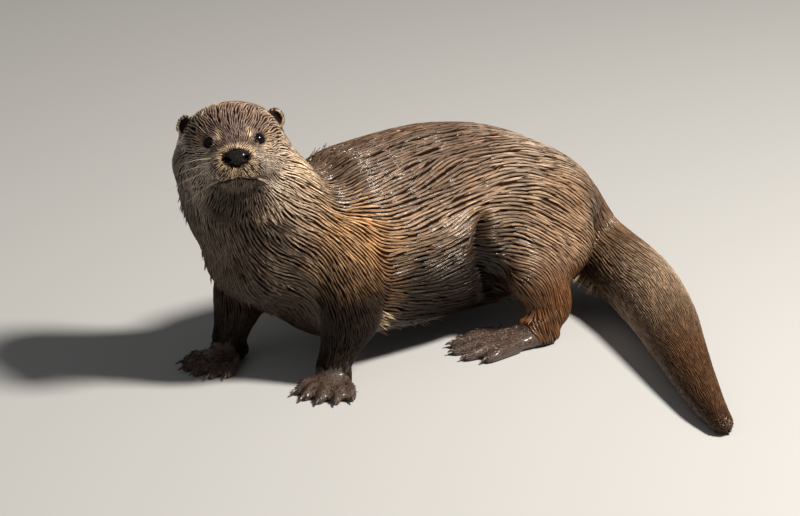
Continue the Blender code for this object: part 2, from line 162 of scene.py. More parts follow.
def mesh_of(bm, name):
    """The bmesh as a mesh. The bmesh is freed."""
    mesh = bpy.data.meshes.new(name)
    bm.to_mesh(mesh)
    bm.free()
    return mesh


def write_points(mesh, points):
    mesh.vertices.foreach_set("co", np.asarray(points, np.float32).ravel())


def new_object(name, vertices, faces, materials=()):
    mesh = bpy.data.meshes.new(name)
    faces = np.asarray(faces, np.int32)
    mesh.vertices.add(len(vertices))
    write_points(mesh, vertices)
    sides = faces.shape[1]
    mesh.loops.add(faces.size)
    mesh.loops.foreach_set("vertex_index", faces.ravel())
    mesh.polygons.add(len(faces))
    mesh.polygons.foreach_set("loop_start", np.arange(len(faces), dtype=np.int32) * sides)
    mesh.polygons.foreach_set("loop_total", np.full(len(faces), sides, np.int32))
    mesh.update(calc_edges=True)
    mesh.shade_smooth()
    for paint in materials:
        mesh.materials.append(paint)
    return placed(name, mesh)


def settled(obj):
    """Replaces the object's mesh by what its modifiers make of it."""
    bpy.context.view_layer.update()
    graph = bpy.context.evaluated_depsgraph_get()
    mesh = bpy.data.meshes.new_from_object(obj.evaluated_get(graph))
    obj.modifiers.clear()
    obj.data = mesh
    return obj


def points_of(mesh):
    co = np.empty(len(mesh.vertices) * 3, np.float32)
    mesh.vertices.foreach_get("co", co)
    return co.reshape(-1, 3).astype(float)


def edges_of(mesh):
    ends = np.empty(len(mesh.edges) * 2, np.int32)
    mesh.edges.foreach_get("vertices", ends)
    return ends.reshape(-1, 2)


def triangles_of(mesh):
    mesh.calc_loop_triangles()
    tris = np.empty(len(mesh.loop_triangles) * 3, np.int32)
    mesh.loop_triangles.foreach_get("vertices", tris)
    return tris.reshape(-1, 3)


def normals_at(points, tris):
    """Area-weighted vertex normals."""
    a, b, c = (points[tris[:, k]] for k in range(3))
    cross = np.cross(b - a, c - a)
    total = np.zeros_like(points)
    for axis in range(3):
        for k in range(3):
            total[:, axis] += np.bincount(tris[:, k], cross[:, axis], len(points))
    return unit(total)


def laid(ways, ups):
    """The ways without their part along the outward ways."""
    return unit(ways - ups * (ways * ups).sum(1)[:, None])


class Weave:
    """The neighbours of each vertex, for averaging along the mesh."""

    def __init__(self, count, edges):
        self.count = count
        self.a = edges[:, 0]
        self.b = edges[:, 1]
        self.degree = np.bincount(self.a, minlength=count) + np.bincount(self.b, minlength=count)
        self.degree = np.maximum(self.degree, 1)

    def mean(self, values):
        if values.ndim == 1:
            total = np.bincount(self.a, values[self.b], self.count)
            total += np.bincount(self.b, values[self.a], self.count)
            return total / self.degree
        return np.stack([self.mean(values[:, k]) for k in range(values.shape[1])], 1)

    def soften(self, values, rounds, share=0.5):
        """Draws values towards their neighbours' mean, by one share or by each vertex's own."""
        if np.ndim(share) and values.ndim > 1:
            share = share[:, None]
        for _ in range(rounds):
            values = values + (self.mean(values) - values) * share
        return values


def soften_patch(points, edges, rounds, share):
    """Softens only where the share isn't nothing."""
    active = share > 0.01
    near = active[edges[:, 0]] | active[edges[:, 1]]
    ends = edges[near]
    ids, place = np.unique(ends, return_inverse=True)
    weave = Weave(len(ids), place.reshape(-1, 2))
    points = points.copy()
    points[ids] = weave.soften(points[ids], rounds, np.where(active[ids], share[ids], 0.0))
    return points


def swollen(nodes, amount):
    """Vertices and faces of the nodes, each grown by `amount` mm."""
    bm = bmesh.new()
    for node in nodes:
        part = bmesh.new()
        part.from_mesh(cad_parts[node].data)
        bmesh.ops.remove_doubles(part, verts=part.verts, dist=1e-6)
        part.normal_update()
        moves = [v.normal * amount * MM for v in part.verts]
        for v, move in zip(part.verts, moves):
            v.co += move
        mesh = mesh_of(part, "grown")
        bm.from_mesh(mesh)
        bpy.data.meshes.remove(mesh)
    return mesh_of(bm, "grown")


def remeshed(name, meshes, voxel):
    """The meshes welded into one surface."""
    bm = bmesh.new()
    for mesh in meshes:
        bm.from_mesh(mesh)
    made = placed(name, mesh_of(bm, name))
    remesh = made.modifiers.new("weld", "REMESH")
    remesh.mode = "VOXEL"
    remesh.voxel_size = voxel * MM
    return settled(made)


# ---------------------------------------------------------------- lie of the body
def claw_tip(foot, k):
    return middle("claw_%s_%d" % (foot, k))


def guides():
    """Axis lines of the body: (label, start, end, girth in mm, lie of the hair or None for the line's own)."""
    ribs = middle("ribs")
    rump = middle("rump")
    throat = CHEST * 0.6 + BACK_OF_HEAD * 0.4 + np.array([0.01, 0, -0.01])
    rows = [("head", at_head(60, 0, -8), at_head(-20, 0, -2), 42, None),
            ("neck", BACK_OF_HEAD, throat, 56, None),
            ("neck", throat, CHEST + [0.03, 0, 0], 70, (0.75, 0, -0.65)),
            ("trunk", CHEST + [0.02, 0, 0], ribs, 80, None),
            ("trunk", ribs, rump, 80, None)]
    tail = [rump + [0.045, -0.005, -0.02]] + [middle(node) for node in TAIL_NODES]
    tail.append(tail[-1] * 2 - tail[-2] * 0.5 - tail[-1] * 0.5)
    rows += [("tail", a, b, 36, None) for a, b in zip(tail[:-1], tail[1:])]
    for s in SIDES:
        shoulder, arm, paw = (middle(part + s) for part in ("upper_arm_", "forearm_", "forepaw_"))
        thigh, shank, foot = (middle(part + s) for part in ("thigh_", "shank_", "hindfoot_"))
        toe = claw_tip("hind_" + s, 3)
        heel = foot * 1.6 - toe * 0.6
        rows += [("fore_" + s, shoulder + [0.0, 0, 0.03], shoulder, 38, (0.55, 0, -0.85)),
                 ("fore_" + s, shoulder, arm, 26, (0.25, 0, -0.95)),
                 ("fore_" + s, arm, paw, 19, None),
                 ("foot_fore_" + s, paw, claw_tip("fore_" + s, 3), 14, None),
                 ("hind_" + s, thigh + [0.02, 0, 0.03], thigh, 46, (0.75, 0, -0.75)),
                 ("hind_" + s, thigh, shank, 30, (0.2, 0, -1.0)),
                 ("hind_" + s, shank, heel, 18, None),
                 ("foot_hind_" + s, heel, toe, 14, None)]
    return rows


GUIDES = guides()
LABELS = sorted(set(row[0] for row in GUIDES))


def lie(points):
    """(share of each label, lie of the hair) at the points."""
    shares = {label: np.zeros(len(points)) for label in LABELS}
    heading = np.zeros((len(points), 3))
    total = np.zeros(len(points))
    for label, a, b, girth, way in GUIDES:
        along = b - a
        t = np.clip((points - a) @ along / (along @ along), 0, 1)
        near = far(points - (a + t[:, None] * along)) / (girth * MM)
        weight = 1 / (near ** 2 + 0.03) ** 3
        shares[label] += weight
        heading += weight[:, None] * unit(along if way is None else way)
        total += weight
    for label in LABELS:
        shares[label] /= total
    return shares, unit(heading)


def whole(shares, *names):
    """The share of the named limbs, left and right together."""
    return sum(shares[k] for k in LABELS if k.split("_")[0] in names)


# ---------------------------------------------------------------- skin
def base_skin():
    """The whole body as one soft form, drawn in by the coat's depth. The head and feet come later."""
    nodes = [n for n in FLESH if not n.startswith("ear")]
    obj = remeshed("base", [swollen(nodes, OVERLAP)], BASE_VOXEL)
    mesh = obj.data
    points = points_of(mesh)
    tris = triangles_of(mesh)
    weave = Weave(len(points), edges_of(mesh))
    shares, _ = lie(points)
    legs = whole(shares, "fore", "hind")
    feet = whole(shares, "foot")
    soft = 1.0 - 0.75 * legs - 0.95 * feet - 0.8 * shares["head"] - 0.6 * shares["tail"]
    soft = np.clip(weave.soften(soft, 6), 0.04, 1.0) * 0.5
    start = points.copy()
    for _ in range(30):
        normal = normals_at(points, tris)
        step = weave.mean(points) - points
        out = (step * normal).sum(1)
        hollow = np.clip(out / (0.08 * MM), 0, 1)[:, None]
        points = points + step * (0.5 * hollow + soft[:, None] * (1 - hollow))
    points = weave.soften(points, 26, soft)
    root = middle("tail_1") * 0.55 + middle("rump") * 0.45
    points = weave.soften(points, 40, 0.5 * bell(far(points - root), 55 * MM, 4))
    normal = normals_at(points, tris)
    lost = weave.soften(((start - points) * normal).sum(1), 16)
    points = points + normal * lost[:, None]
    shares, _ = lie(points)
    normal = normals_at(points, tris)
    depth = skin_depth(shares)
    points = points - normal * depth[:, None] * MM
    write_points(mesh, points)
    mesh.update()
    return obj


# ---- how far the skin lies inside the solids, mm ----
COAT_DEPTH = {"head": 1.5, "neck": 2.0, "trunk": 1.9, "tail": 1.3, "fore": 1.5, "hind": 1.6, "foot": 0.9}


def skin_depth(shares):
    return sum(shares[k] * COAT_DEPTH[k.split("_")[0]] for k in LABELS)


def make_skin():
    base = base_skin()
    head = swollen(["head"], -0.7)
    ears = swollen(["ear_l", "ear_r"], -0.25)
    feet = swollen(FOOT_NODES, -0.3)
    plugs = []
    for s in SIDES:
        bm = bmesh.new()
        bmesh.ops.create_uvsphere(bm, u_segments=32, v_segments=16, radius=6.6 * MM)
        bmesh.ops.translate(bm, verts=bm.verts, vec=Vector(EYES[s]))
        plugs.append(mesh_of(bm, "plug"))
    skin = remeshed("skin", [base.data, head, ears, feet] + plugs, FINE_VOXEL)
    bpy.data.objects.remove(base, do_unlink=True)
    return skin


# ---------------------------------------------------------------- face on the skin
# ---- eyeball and lids, mm; the opening's half angles ----
EYE_BALL = 5.8
LID = 0.75
OPENING_SIDE = math.radians(39)
OPENING_HEIGHT = math.radians(44)
GAZE = {s: unit(HEAD_AXES[0] * 0.80 + HEAD_AXES[1] * 0.50 * SIGN[s] + HEAD_AXES[2] * 0.33) for s in SIDES}


def eye_axes(side):
    """Rows: gaze, across towards the ear, and up."""
    gaze = GAZE[side]
    across = unit(np.cross(HEAD_AXES[2], gaze) * SIGN[side])
    rise = unit(np.cross(gaze, across)) * SIGN[side]
    return np.array([gaze, across, rise])


def seen_by(side, points):
    """The points' way and distance from the eye's middle, and their angle from its gaze."""
    away = points - EYES[side]
    r = far(away)
    return away, r, np.arccos(np.clip(away @ eye_axes(side)[0] / np.maximum(r, 1e-9), -1, 1))


def opening(angle_round):
    """Half angle of the lids' opening at an angle round the gaze: wide and a little pointed at its ends."""
    c = np.abs(np.cos(angle_round))
    s = np.abs(np.sin(angle_round))
    return 1 / np.sqrt((c / OPENING_SIDE) ** 2 + (s / OPENING_HEIGHT) ** 2)


def fit_round_eyes(points):
    """The skin lies on the eyeball round the opening and dips behind it inside the opening."""
    for s in SIDES:
        axes = eye_axes(s)
        away = points - EYES[s]
        reach = far(away)
        near = reach < 16 * MM
        local = away[near] @ axes.T
        r = np.maximum(reach[near], 1e-9)
        angle = np.arccos(np.clip(local[:, 0] / r, -1, 1))
        edge = opening(np.arctan2(local[:, 2], local[:, 1]))
        inside = 1 - ramp(edge - 0.10, edge + 0.02, angle)
        brim = ramp(edge - 0.05, edge + 0.06, angle) * (1 - ramp(edge + 0.12, edge + 0.75, angle))
        hidden = (EYE_BALL - 1.2) * MM
        lidded = (EYE_BALL + LID) * MM
        wanted = np.maximum(r, lidded)
        wanted = wanted * (1 - brim) + (lidded * 0.75 + np.clip(r, lidded, lidded * 1.25) * 0.25) * brim
        wanted = wanted * (1 - inside) + hidden * inside
        points[near] = EYES[s] + away[near] / r[:, None] * wanted[:, None]
    return points


# ---- mouth line and nose pad in the head's frame, mm ----
MOUTH_HALF = 18.0
MOUTH_UP = -19.3
PAD = np.array([8.0, 11.7, 6.9])


def pad_stretch(l, u):
    """How much taller than an ellipsoid the nose pad is: flat above, and pointed down to the philtrum."""
    side = np.abs(l)
    up = 0.96 + 0.22 * bell(side - 7.5, 3.0)
    down = 0.80 + 0.30 * bell(l, 4.2)
    return np.where(u > 0, up, down)


def pad_reach(points):
    """1 on the nose pad's surface, more outside it."""
    away = in_head(points) - in_head(NOSE)
    level = np.ones(len(points))
    form = np.stack([level, level, pad_stretch(away[:, 1], away[:, 2])], 1) * PAD
    return far(away / form)


def fit_round_nose(points):
    """Draws the skin's socket close round the nose pad."""
    e = pad_reach(points)
    near = (e < 1.5) & (e > 0.2)
    wanted = np.interp(e[near], [0.0, 0.92, 1.22, 1.5], [0.0, 0.92, 0.99, 1.5])
    points = points.copy()
    points[near] = NOSE + (points[near] - NOSE) * (wanted / e[near])[:, None]
    return points


def mouth_height(left):
    """Height of the closed mouth's line: it rises to the philtrum and droops to the corners."""
    return MOUTH_UP - 3.6 * (np.abs(left) / MOUTH_HALF) ** 1.5 + 0.8 * bell(left, 3.0)


def carve_face(points, normal):
    """Mouth line, philtrum, whisker pads, brow and the hollow before the eye."""
    f, l, u = in_head(points).T
    front = ramp(34, 46, f)
    out = np.zeros(len(points))
    line = np.abs(u - mouth_height(l))
    length = 1 - ramp(MOUTH_HALF - 3, MOUTH_HALF + 1, np.abs(l))
    out -= 2.3 * bell(line, 1.1) * front * length
    upper = u - mouth_height(l)
    out += 0.8 * bell(upper - 3.4, 2.4) * front * length
    out -= 0.5 * bell(upper + 3.0, 2.0) * front * length
    groove = bell(l, 0.9) * ramp(-21, -19, u) * (1 - ramp(-9, -7, u))
    out -= 1.5 * groove * ramp(48, 52, f)
    for side in (-1, 1):
        pad = np.exp(-(((l - 9.5 * side) / 6.5) ** 2 + ((u + 11.5) / 5.5) ** 2)) * ramp(44, 52, f)
        out += 1.1 * pad
        hollow = np.exp(-(((f - 40) / 7) ** 2 + ((l - 14 * side) / 5) ** 2 + ((u - 4) / 5) ** 2))
        out -= 0.9 * hollow
        brow = np.exp(-(((f - 32) / 6) ** 2 + ((l - 19 * side) / 7) ** 2 + ((u - 18.5) / 3.5) ** 2))
        out += 0.8 * brow
    return points + normal * out[:, None] * MM


# ---- the fold before the thigh: places from the thigh's middle, mm, mirrored for the right side ----
FOLD = ((-74, 14, 52), (-82, 11, 31), (-85, 10, 13), (-76, 12, -14), (-54, 22, -46))


def fold_reach(points):
    """Distance in mm to the fold of skin in front of the nearer thigh; it gets wider downwards."""
    nearest = np.full(len(points), 1e3)
    for s, sign in SIGN.items():
        knee = middle("thigh_" + s)
        line = [knee + np.array([x, y * sign, z]) * MM for x, y, z in FOLD]
        for a, b in zip(line[:-1], line[1:]):
            t = np.clip((points - a) @ (b - a) / ((b - a) @ (b - a)), 0, 1)
            nearest = np.minimum(nearest, far(points - a - t[:, None] * (b - a)) / MM)
    return nearest / (0.75 + 0.75 * ramp(HIP + 0.040, HIP - 0.020, points[:, 2]))


def fold_top(points):
    """0 at the fold's upper end, rising to 1 a little way down."""
    return ramp(HIP + 0.052, HIP + 0.022, points[:, 2])


def finish_skin(skin):
    """Softens the weld of the pieces, models the face, then thins the mesh away from face and feet."""
    mesh = skin.data
    points = points_of(mesh)
    tris = triangles_of(mesh)
    edges = edges_of(mesh)
    weave = Weave(len(points), edges)
    shares, _ = lie(points)
    local = in_head(points)
    feet = whole(shares, "foot")
    occiput = (local - [-34, 0, -20]) @ unit([-0.55, 0, -0.83])
    seam = bell(occiput, 9) * (shares["head"] + shares["neck"] > 0.3)
    ankle = bell(points[:, 2] / MM - 27, 5) * (shares["head"] < 0.05)
    ears = np.zeros(len(points))
    for s in SIDES:
        ears = np.maximum(ears, bell(far(points - middle("ear_" + s)), 9 * MM, 4))
    soft = np.full(len(points), 0.5)
    soft *= 1 - 0.80 * np.clip(feet * 1.5, 0, 1)
    soft *= 1 - 0.92 * ears
    soft = weave.soften(soft, 4)
    points = weave.soften(points, 22, soft)
    points = soften_patch(points, edges, 80, 0.5 * np.clip(seam + ankle, 0, 1))
    normal = normals_at(points, tris)
    crease = 13.0 * bell(fold_reach(points), 8.0) * fold_top(points)
    points = points - normal * crease[:, None] * MM
    points = carve_face(points, normal)
    points = weave.soften(points, 1, 0.4)
    points = fit_round_nose(fit_round_eyes(points))
    write_points(mesh, points)
    mesh.update()
    keep = np.clip(ramp(-30, -10, local[:, 0]) * (shares["head"] > 0.5) + feet * 1.6 + ears, 0, 1)
    group = skin.vertex_groups.new(name="thin")
    for level in range(11):
        share = 1 - level / 10
        picked = np.flatnonzero(np.round(keep * 10).astype(int) == level)
        group.add(picked.tolist(), max(share, 0.0), "REPLACE")
    fewer = skin.modifiers.new("fewer", "DECIMATE")
    fewer.ratio = SKIN_FACES / len(tris)
    fewer.vertex_group = group.name
    settled(skin)
    skin.vertex_groups.clear()
    skin.data.shade_smooth()
    return skin


skin = finish_skin(make_skin())


# ---------------------------------------------------------------- what the coat needs over the skin
def ripple(points, size, seed, waves=10):
    """Smooth noise of about -1 to 1, with features about `size` mm across."""
    rng = np.random.default_rng(seed)
    way = unit(rng.normal(size=(waves, 3))) * rng.uniform(0.6, 1.5, (waves, 1)) * 2 * np.pi / (size * MM)
    phase = rng.uniform(0, 2 * np.pi, waves)
    return np.sin(points @ way.T + phase).sum(1) / math.sqrt(waves * 1.2)


def near_ears(points):
    """Distance in mm to the nearer ear's middle."""
    return np.minimum(*(far(points - middle("ear_" + s)) for s in SIDES)) / MM


class Hide:
    """The skin with the lie, spacing and length of its locks at each vertex."""

    def __init__(self, obj):
        mesh = obj.data
        points = self.points = points_of(mesh)
        self.tris = triangles_of(mesh)
        self.normal = normals_at(self.points, self.tris)
        self.weave = Weave(len(self.points), edges_of(mesh))
        share, heading = lie(points)
        self.shares = share
        self.local = in_head(points)
        f, _, u = self.local.T
        face = share["head"] * ramp(-5, 25, f)
        from_nose = unit(points - NOSE_BRIDGE)
        from_nose = unit(from_nose - 0.35 * HEAD_AXES[2] * ramp(2, -10, u)[:, None])
        heading = heading * (1 - face[:, None]) + from_nose * face[:, None]
        x = points[:, 0]
        upper = (share["trunk"] + share["neck"]) * ramp(0.06, 0.10, points[:, 2])
        heading[:, 2] += upper * 0.46 * ramp(-0.125, -0.085, x) * ramp(0.06, -0.03, x)
        heading[:, 2] -= share["trunk"] * 0.20 * ramp(0.06, 0.14, x)
        heading = self.weave.soften(self.flat(heading), 12)
        root = middle("tail_1") * 0.7 + middle("rump") * 0.3
        near_root = bell(far(points - root), 62 * MM, 4)
        heading = self.weave.soften(self.flat(heading), 90, 0.5 * near_root)
        heading = self.flat(heading)
        turn = 0.10 * ripple(points, 55, 1)
        turn = turn + (0.09 + 0.10 * share["neck"]) * ripple(points, 17, 2)
        turn += 0.20 * share["head"] * ripple(points, 9, 4)
        across = np.cross(self.normal, heading)
        self.heading = self.flat(heading * np.cos(turn)[:, None] + across * np.sin(turn)[:, None])
        self.measure()

    def each(self, *sizes):
        """A size blended from its values on head, neck, trunk, tail, forelegs, hind legs and feet."""
        kinds = dict(zip(("head", "neck", "trunk", "tail", "fore", "hind", "foot"), sizes))
        return sum(self.shares[k] * kinds[k.split("_")[0]] for k in LABELS)

    def on_faces(self, values):
        return values[self.tris].mean(1)

    def flat(self, ways):
        """The ways laid down on the skin."""
        return laid(ways, self.normal)

    def measure(self):
        """Spacing, length and height of the locks in mm, and where there is no coat."""
        f, l, u = self.local.T
        share = self.shares
        points = self.points
        face = ramp(10, 46, f) * ramp(0.4, 0.7, share["head"])
        low = ramp(105, 55, points[:, 2] / MM) * (share["head"] < 0.3)
        legs = np.clip(whole(share, "fore") + whole(share, "hind"), 0, 1) * low
        end = share["tail"] * ramp(middle("tail_1")[1] + 0.01, middle("tail_3")[1], points[:, 1])
        stern = share["trunk"] * ramp(0.12, 0.20, points[:, 0])
        fine = np.clip(0.85 * legs + end + 0.6 * stern, 0, 1)
        sizes = {"gap": ((2.3, 2.5, 3.6, 2.7, 2.7, 3.2, 2.2), 1.5, 0.44),
                 "reach": ((13, 18, 33, 30, 17, 23, 7), 5.0, 0.52),
                 "rise": ((1.3, 1.6, 1.9, 1.2, 1.4, 1.5, 0.7), 0.60, 0.60)}
        for name, (body, on_face, thinned) in sizes.items():
            size = self.each(*body)
            size = size * (1 - face) + on_face * face
            setattr(self, name, size * (1 - thinned * fine))
        bald = np.zeros(len(points), bool)
        for s in SIDES:
            _, r, angle = seen_by(s, points)
            bald |= (r < 10 * MM) & (angle < 0.86)
        bald |= pad_reach(points) < 1.04
        lips = (np.abs(u - mouth_height(l)) < 0.55) & (f > 40) & (np.abs(l) < MOUTH_HALF)
        bald |= lips
        bald |= near_ears(points) < 9.5
        z = points[:, 2] / MM + 1.5 * ripple(points, 8, 3)
        not_tail = share["tail"] < 0.5
        bald |= (z < 3.5) & not_tail
        for s in SIDES:
            paw = middle("forepaw_" + s)
            near = far(points - paw) < 45 * MM
            ahead = (points - paw) @ unit((claw_tip("fore_" + s, 3) - paw) * [1, 1, 0]) / MM
            bald |= near & (z < 19 - 0.15 * ahead) & (ahead > -14 + 0.3 * z)
            foot = middle("hindfoot_" + s)
            toe = claw_tip("hind_" + s, 3)
            near = far(points - foot) < 62 * MM
            ahead = (points - foot) @ unit((toe - foot) * [1, 1, 0]) / MM
            bald |= near & (z < 26) & (ahead > -24 + 0.75 * z)
        bald |= points[:, 2] / MM < 1.0
        bald |= (fold_reach(points) < 5.4) & (fold_top(points) > 0.6)
        self.bald = bald
        self.moist = bald & (points[:, 2] < 45 * MM) & not_tail


WIDEST_GAP = 4.6
FEWEST_PLACES = 3
ON_PAST_END = 4
ON_BEFORE_START = 3


def comb(hide, rng):
    """Evenly spaced lines along the lie of the coat: a list of (points, normals, face of each point)."""
    tree = BVHTree.FromPolygons(hide.points.tolist(), hide.tris.tolist(), all_triangles=True)
    corners = hide.tris.tolist()
    spots = [Vector(p) for p in hide.points]
    ways = [Vector(p) for p in hide.heading]
    ups = [Vector(p) for p in hide.normal]
    gaps = (hide.on_faces(hide.gap) * MM).tolist()
    bare = (hide.on_faces(hide.bald) > 0.5).tolist()
    longest = (hide.on_faces(hide.reach) * MM).tolist()
    cell = WIDEST_GAP * MM
    grid = {}
    ring = [(x, y, z) for x in (-1, 0, 1) for y in (-1, 0, 1) for z in (-1, 0, 1)]
    floor = math.floor

    def at(p):
        spot, _, face, _ = tree.find_nearest(p)
        a, b, c = corners[face]
        u, v, w = poly_3d_calc((spots[a], spots[b], spots[c]), spot)
        up = (ups[a] * u + ups[b] * v + ups[c] * w).normalized()
        way = ways[a] * u + ways[b] * v + ways[c] * w
        way = (way - up * way.dot(up)).normalized()
        return spot, up, way, face

    def crowded(p, limit, line):
        x, y, z = p
        i, j, k = floor(x / cell), floor(y / cell), floor(z / cell)
        limit *= limit
        for di, dj, dk in ring:
            for qx, qy, qz, other in grid.get((i + di, j + dj, k + dk), ()):
                if other != line and (qx - x) ** 2 + (qy - y) ** 2 + (qz - z) ** 2 < limit:
                    return True
        return False

    def grow(start, sign, line, cap):
        """Follows the lie from the start. Returns the places passed and how many of the last ones overrun."""
        spot, up, way, face = start
        passed = []
        gone = 0.0
        spare = 0
        while True:
            gap = gaps[face]
            step = min(max(gap * 0.6, 1.1 * MM), 2.5 * MM)
            nxt = at(spot + way * (sign * step))
            if bare[nxt[3]] or nxt[1].dot(up) < 0.3 or nxt[2].dot(way) < 0.2:
                break
            if spare == 0 and (gone > cap or crowded(nxt[0], 0.56 * gap, line)):
                spare = 1
            if spare:
                spare += 1
                if spare > (ON_PAST_END if sign > 0 else ON_BEFORE_START):
                    break
            passed.append(nxt)
            gone += step
            spot, up, way, face = nxt
        return passed, max(spare - 1, 0)

    lines = []

    def plant(seed):
        start = at(Vector(seed))
        if bare[start[3]] or crowded(start[0], 0.93 * gaps[start[3]], -1):
            return
        line = len(lines)
        cap = longest[start[3]] * rng.uniform(0.7, 1.9)
        ahead, spare = grow(start, 1, line, cap)
        behind, before = grow(start, -1, line, cap)
        path = behind[::-1] + [start] + ahead
        kept = path[before:len(path) - spare]
        if len(kept) < FEWEST_PLACES:
            return
        for place in kept:
            x, y, z = place[0]
            grid.setdefault((floor(x / cell), floor(y / cell), floor(z / cell)), []).append((x, y, z, line))
        lines.append((path, kept))

    first = 0
    for i in rng.permutation(len(hide.points)):
        if hide.bald[i]:
            continue
        plant(hide.points[i])
        while first < len(lines):
            first += 1
            for spot, up, way, face in lines[first - 1][1][::2]:
                side = up.cross(way) * (gaps[face] * 1.02)
                plant(spot + side)
                plant(spot - side)
    made = []
    for path, _ in lines:
        places, ups_there, _, faces = zip(*path)
        made.append((np.array(places), np.array(ups_there), np.array(faces)))
    return made, tree


hide = Hide(skin)
lines, SKIN_TREE = comb(hide, np.random.default_rng(5))


# ---------------------------------------------------------------- markings of skin and coat, with painted shade and sheen, linear colours
BACK = np.array([0.118, 0.073, 0.050])
FLANK = np.array([0.278, 0.184, 0.119])
SHOULDER = np.array([0.600, 0.360, 0.182])
# belly hair: its own dark brown, darkened further as painted shade under the body
SHADED_BELLY = np.array([0.045, 0.022, 0.011])
# throat hair painted in shade: the real throat is paler than this
SHADED_THROAT = np.array([0.066, 0.049, 0.041])
NECK_SIDE = np.array([0.820, 0.650, 0.480])
CROWN = np.array([0.163, 0.113, 0.107])
CHEEK = np.array([0.385, 0.338, 0.305])
MUZZLE = np.array([0.385, 0.290, 0.200])
LIP = np.array([0.120, 0.092, 0.073])
PALE = np.array([0.660, 0.520, 0.370])
# foreleg hair: its own dark brown, darkened further as painted shade
SHADED_ARM = np.array([0.015, 0.008, 0.005])
# painted sheen: pale greyish colour for the upper rump
RUMP_SHEEN = np.array([0.330, 0.262, 0.212])
THIGH = np.array([0.335, 0.230, 0.155])
SHANK = np.array([0.205, 0.090, 0.034])
TAIL = np.array([0.140, 0.083, 0.049])
# middle of the tail: partly its own paler hair, partly painted sheen
TAIL_MID_SHEEN = np.array([0.325, 0.245, 0.180])
TAIL_END = np.array([0.095, 0.046, 0.020])
BARE_FOOT = np.array([0.060, 0.034, 0.022])
LEATHER = np.array([0.045, 0.030, 0.032])


def blend(a, b, share):
    """From colour a to colour b by each point's share."""
    return a * (1 - share[:, None]) + b * share[:, None]


def deepened(colour, share):
    """The colour darkened to a share of itself, and redder as it gets darker."""
    return colour * np.power(np.asarray(share)[..., None], (1.0, 1.25, 1.6))


def spot(points, centre, size):
    """1 at the centre, falling away over `size`; all in the same units."""
    return np.exp(-(((points - np.asarray(centre)) / np.asarray(size)) ** 2).sum(1))


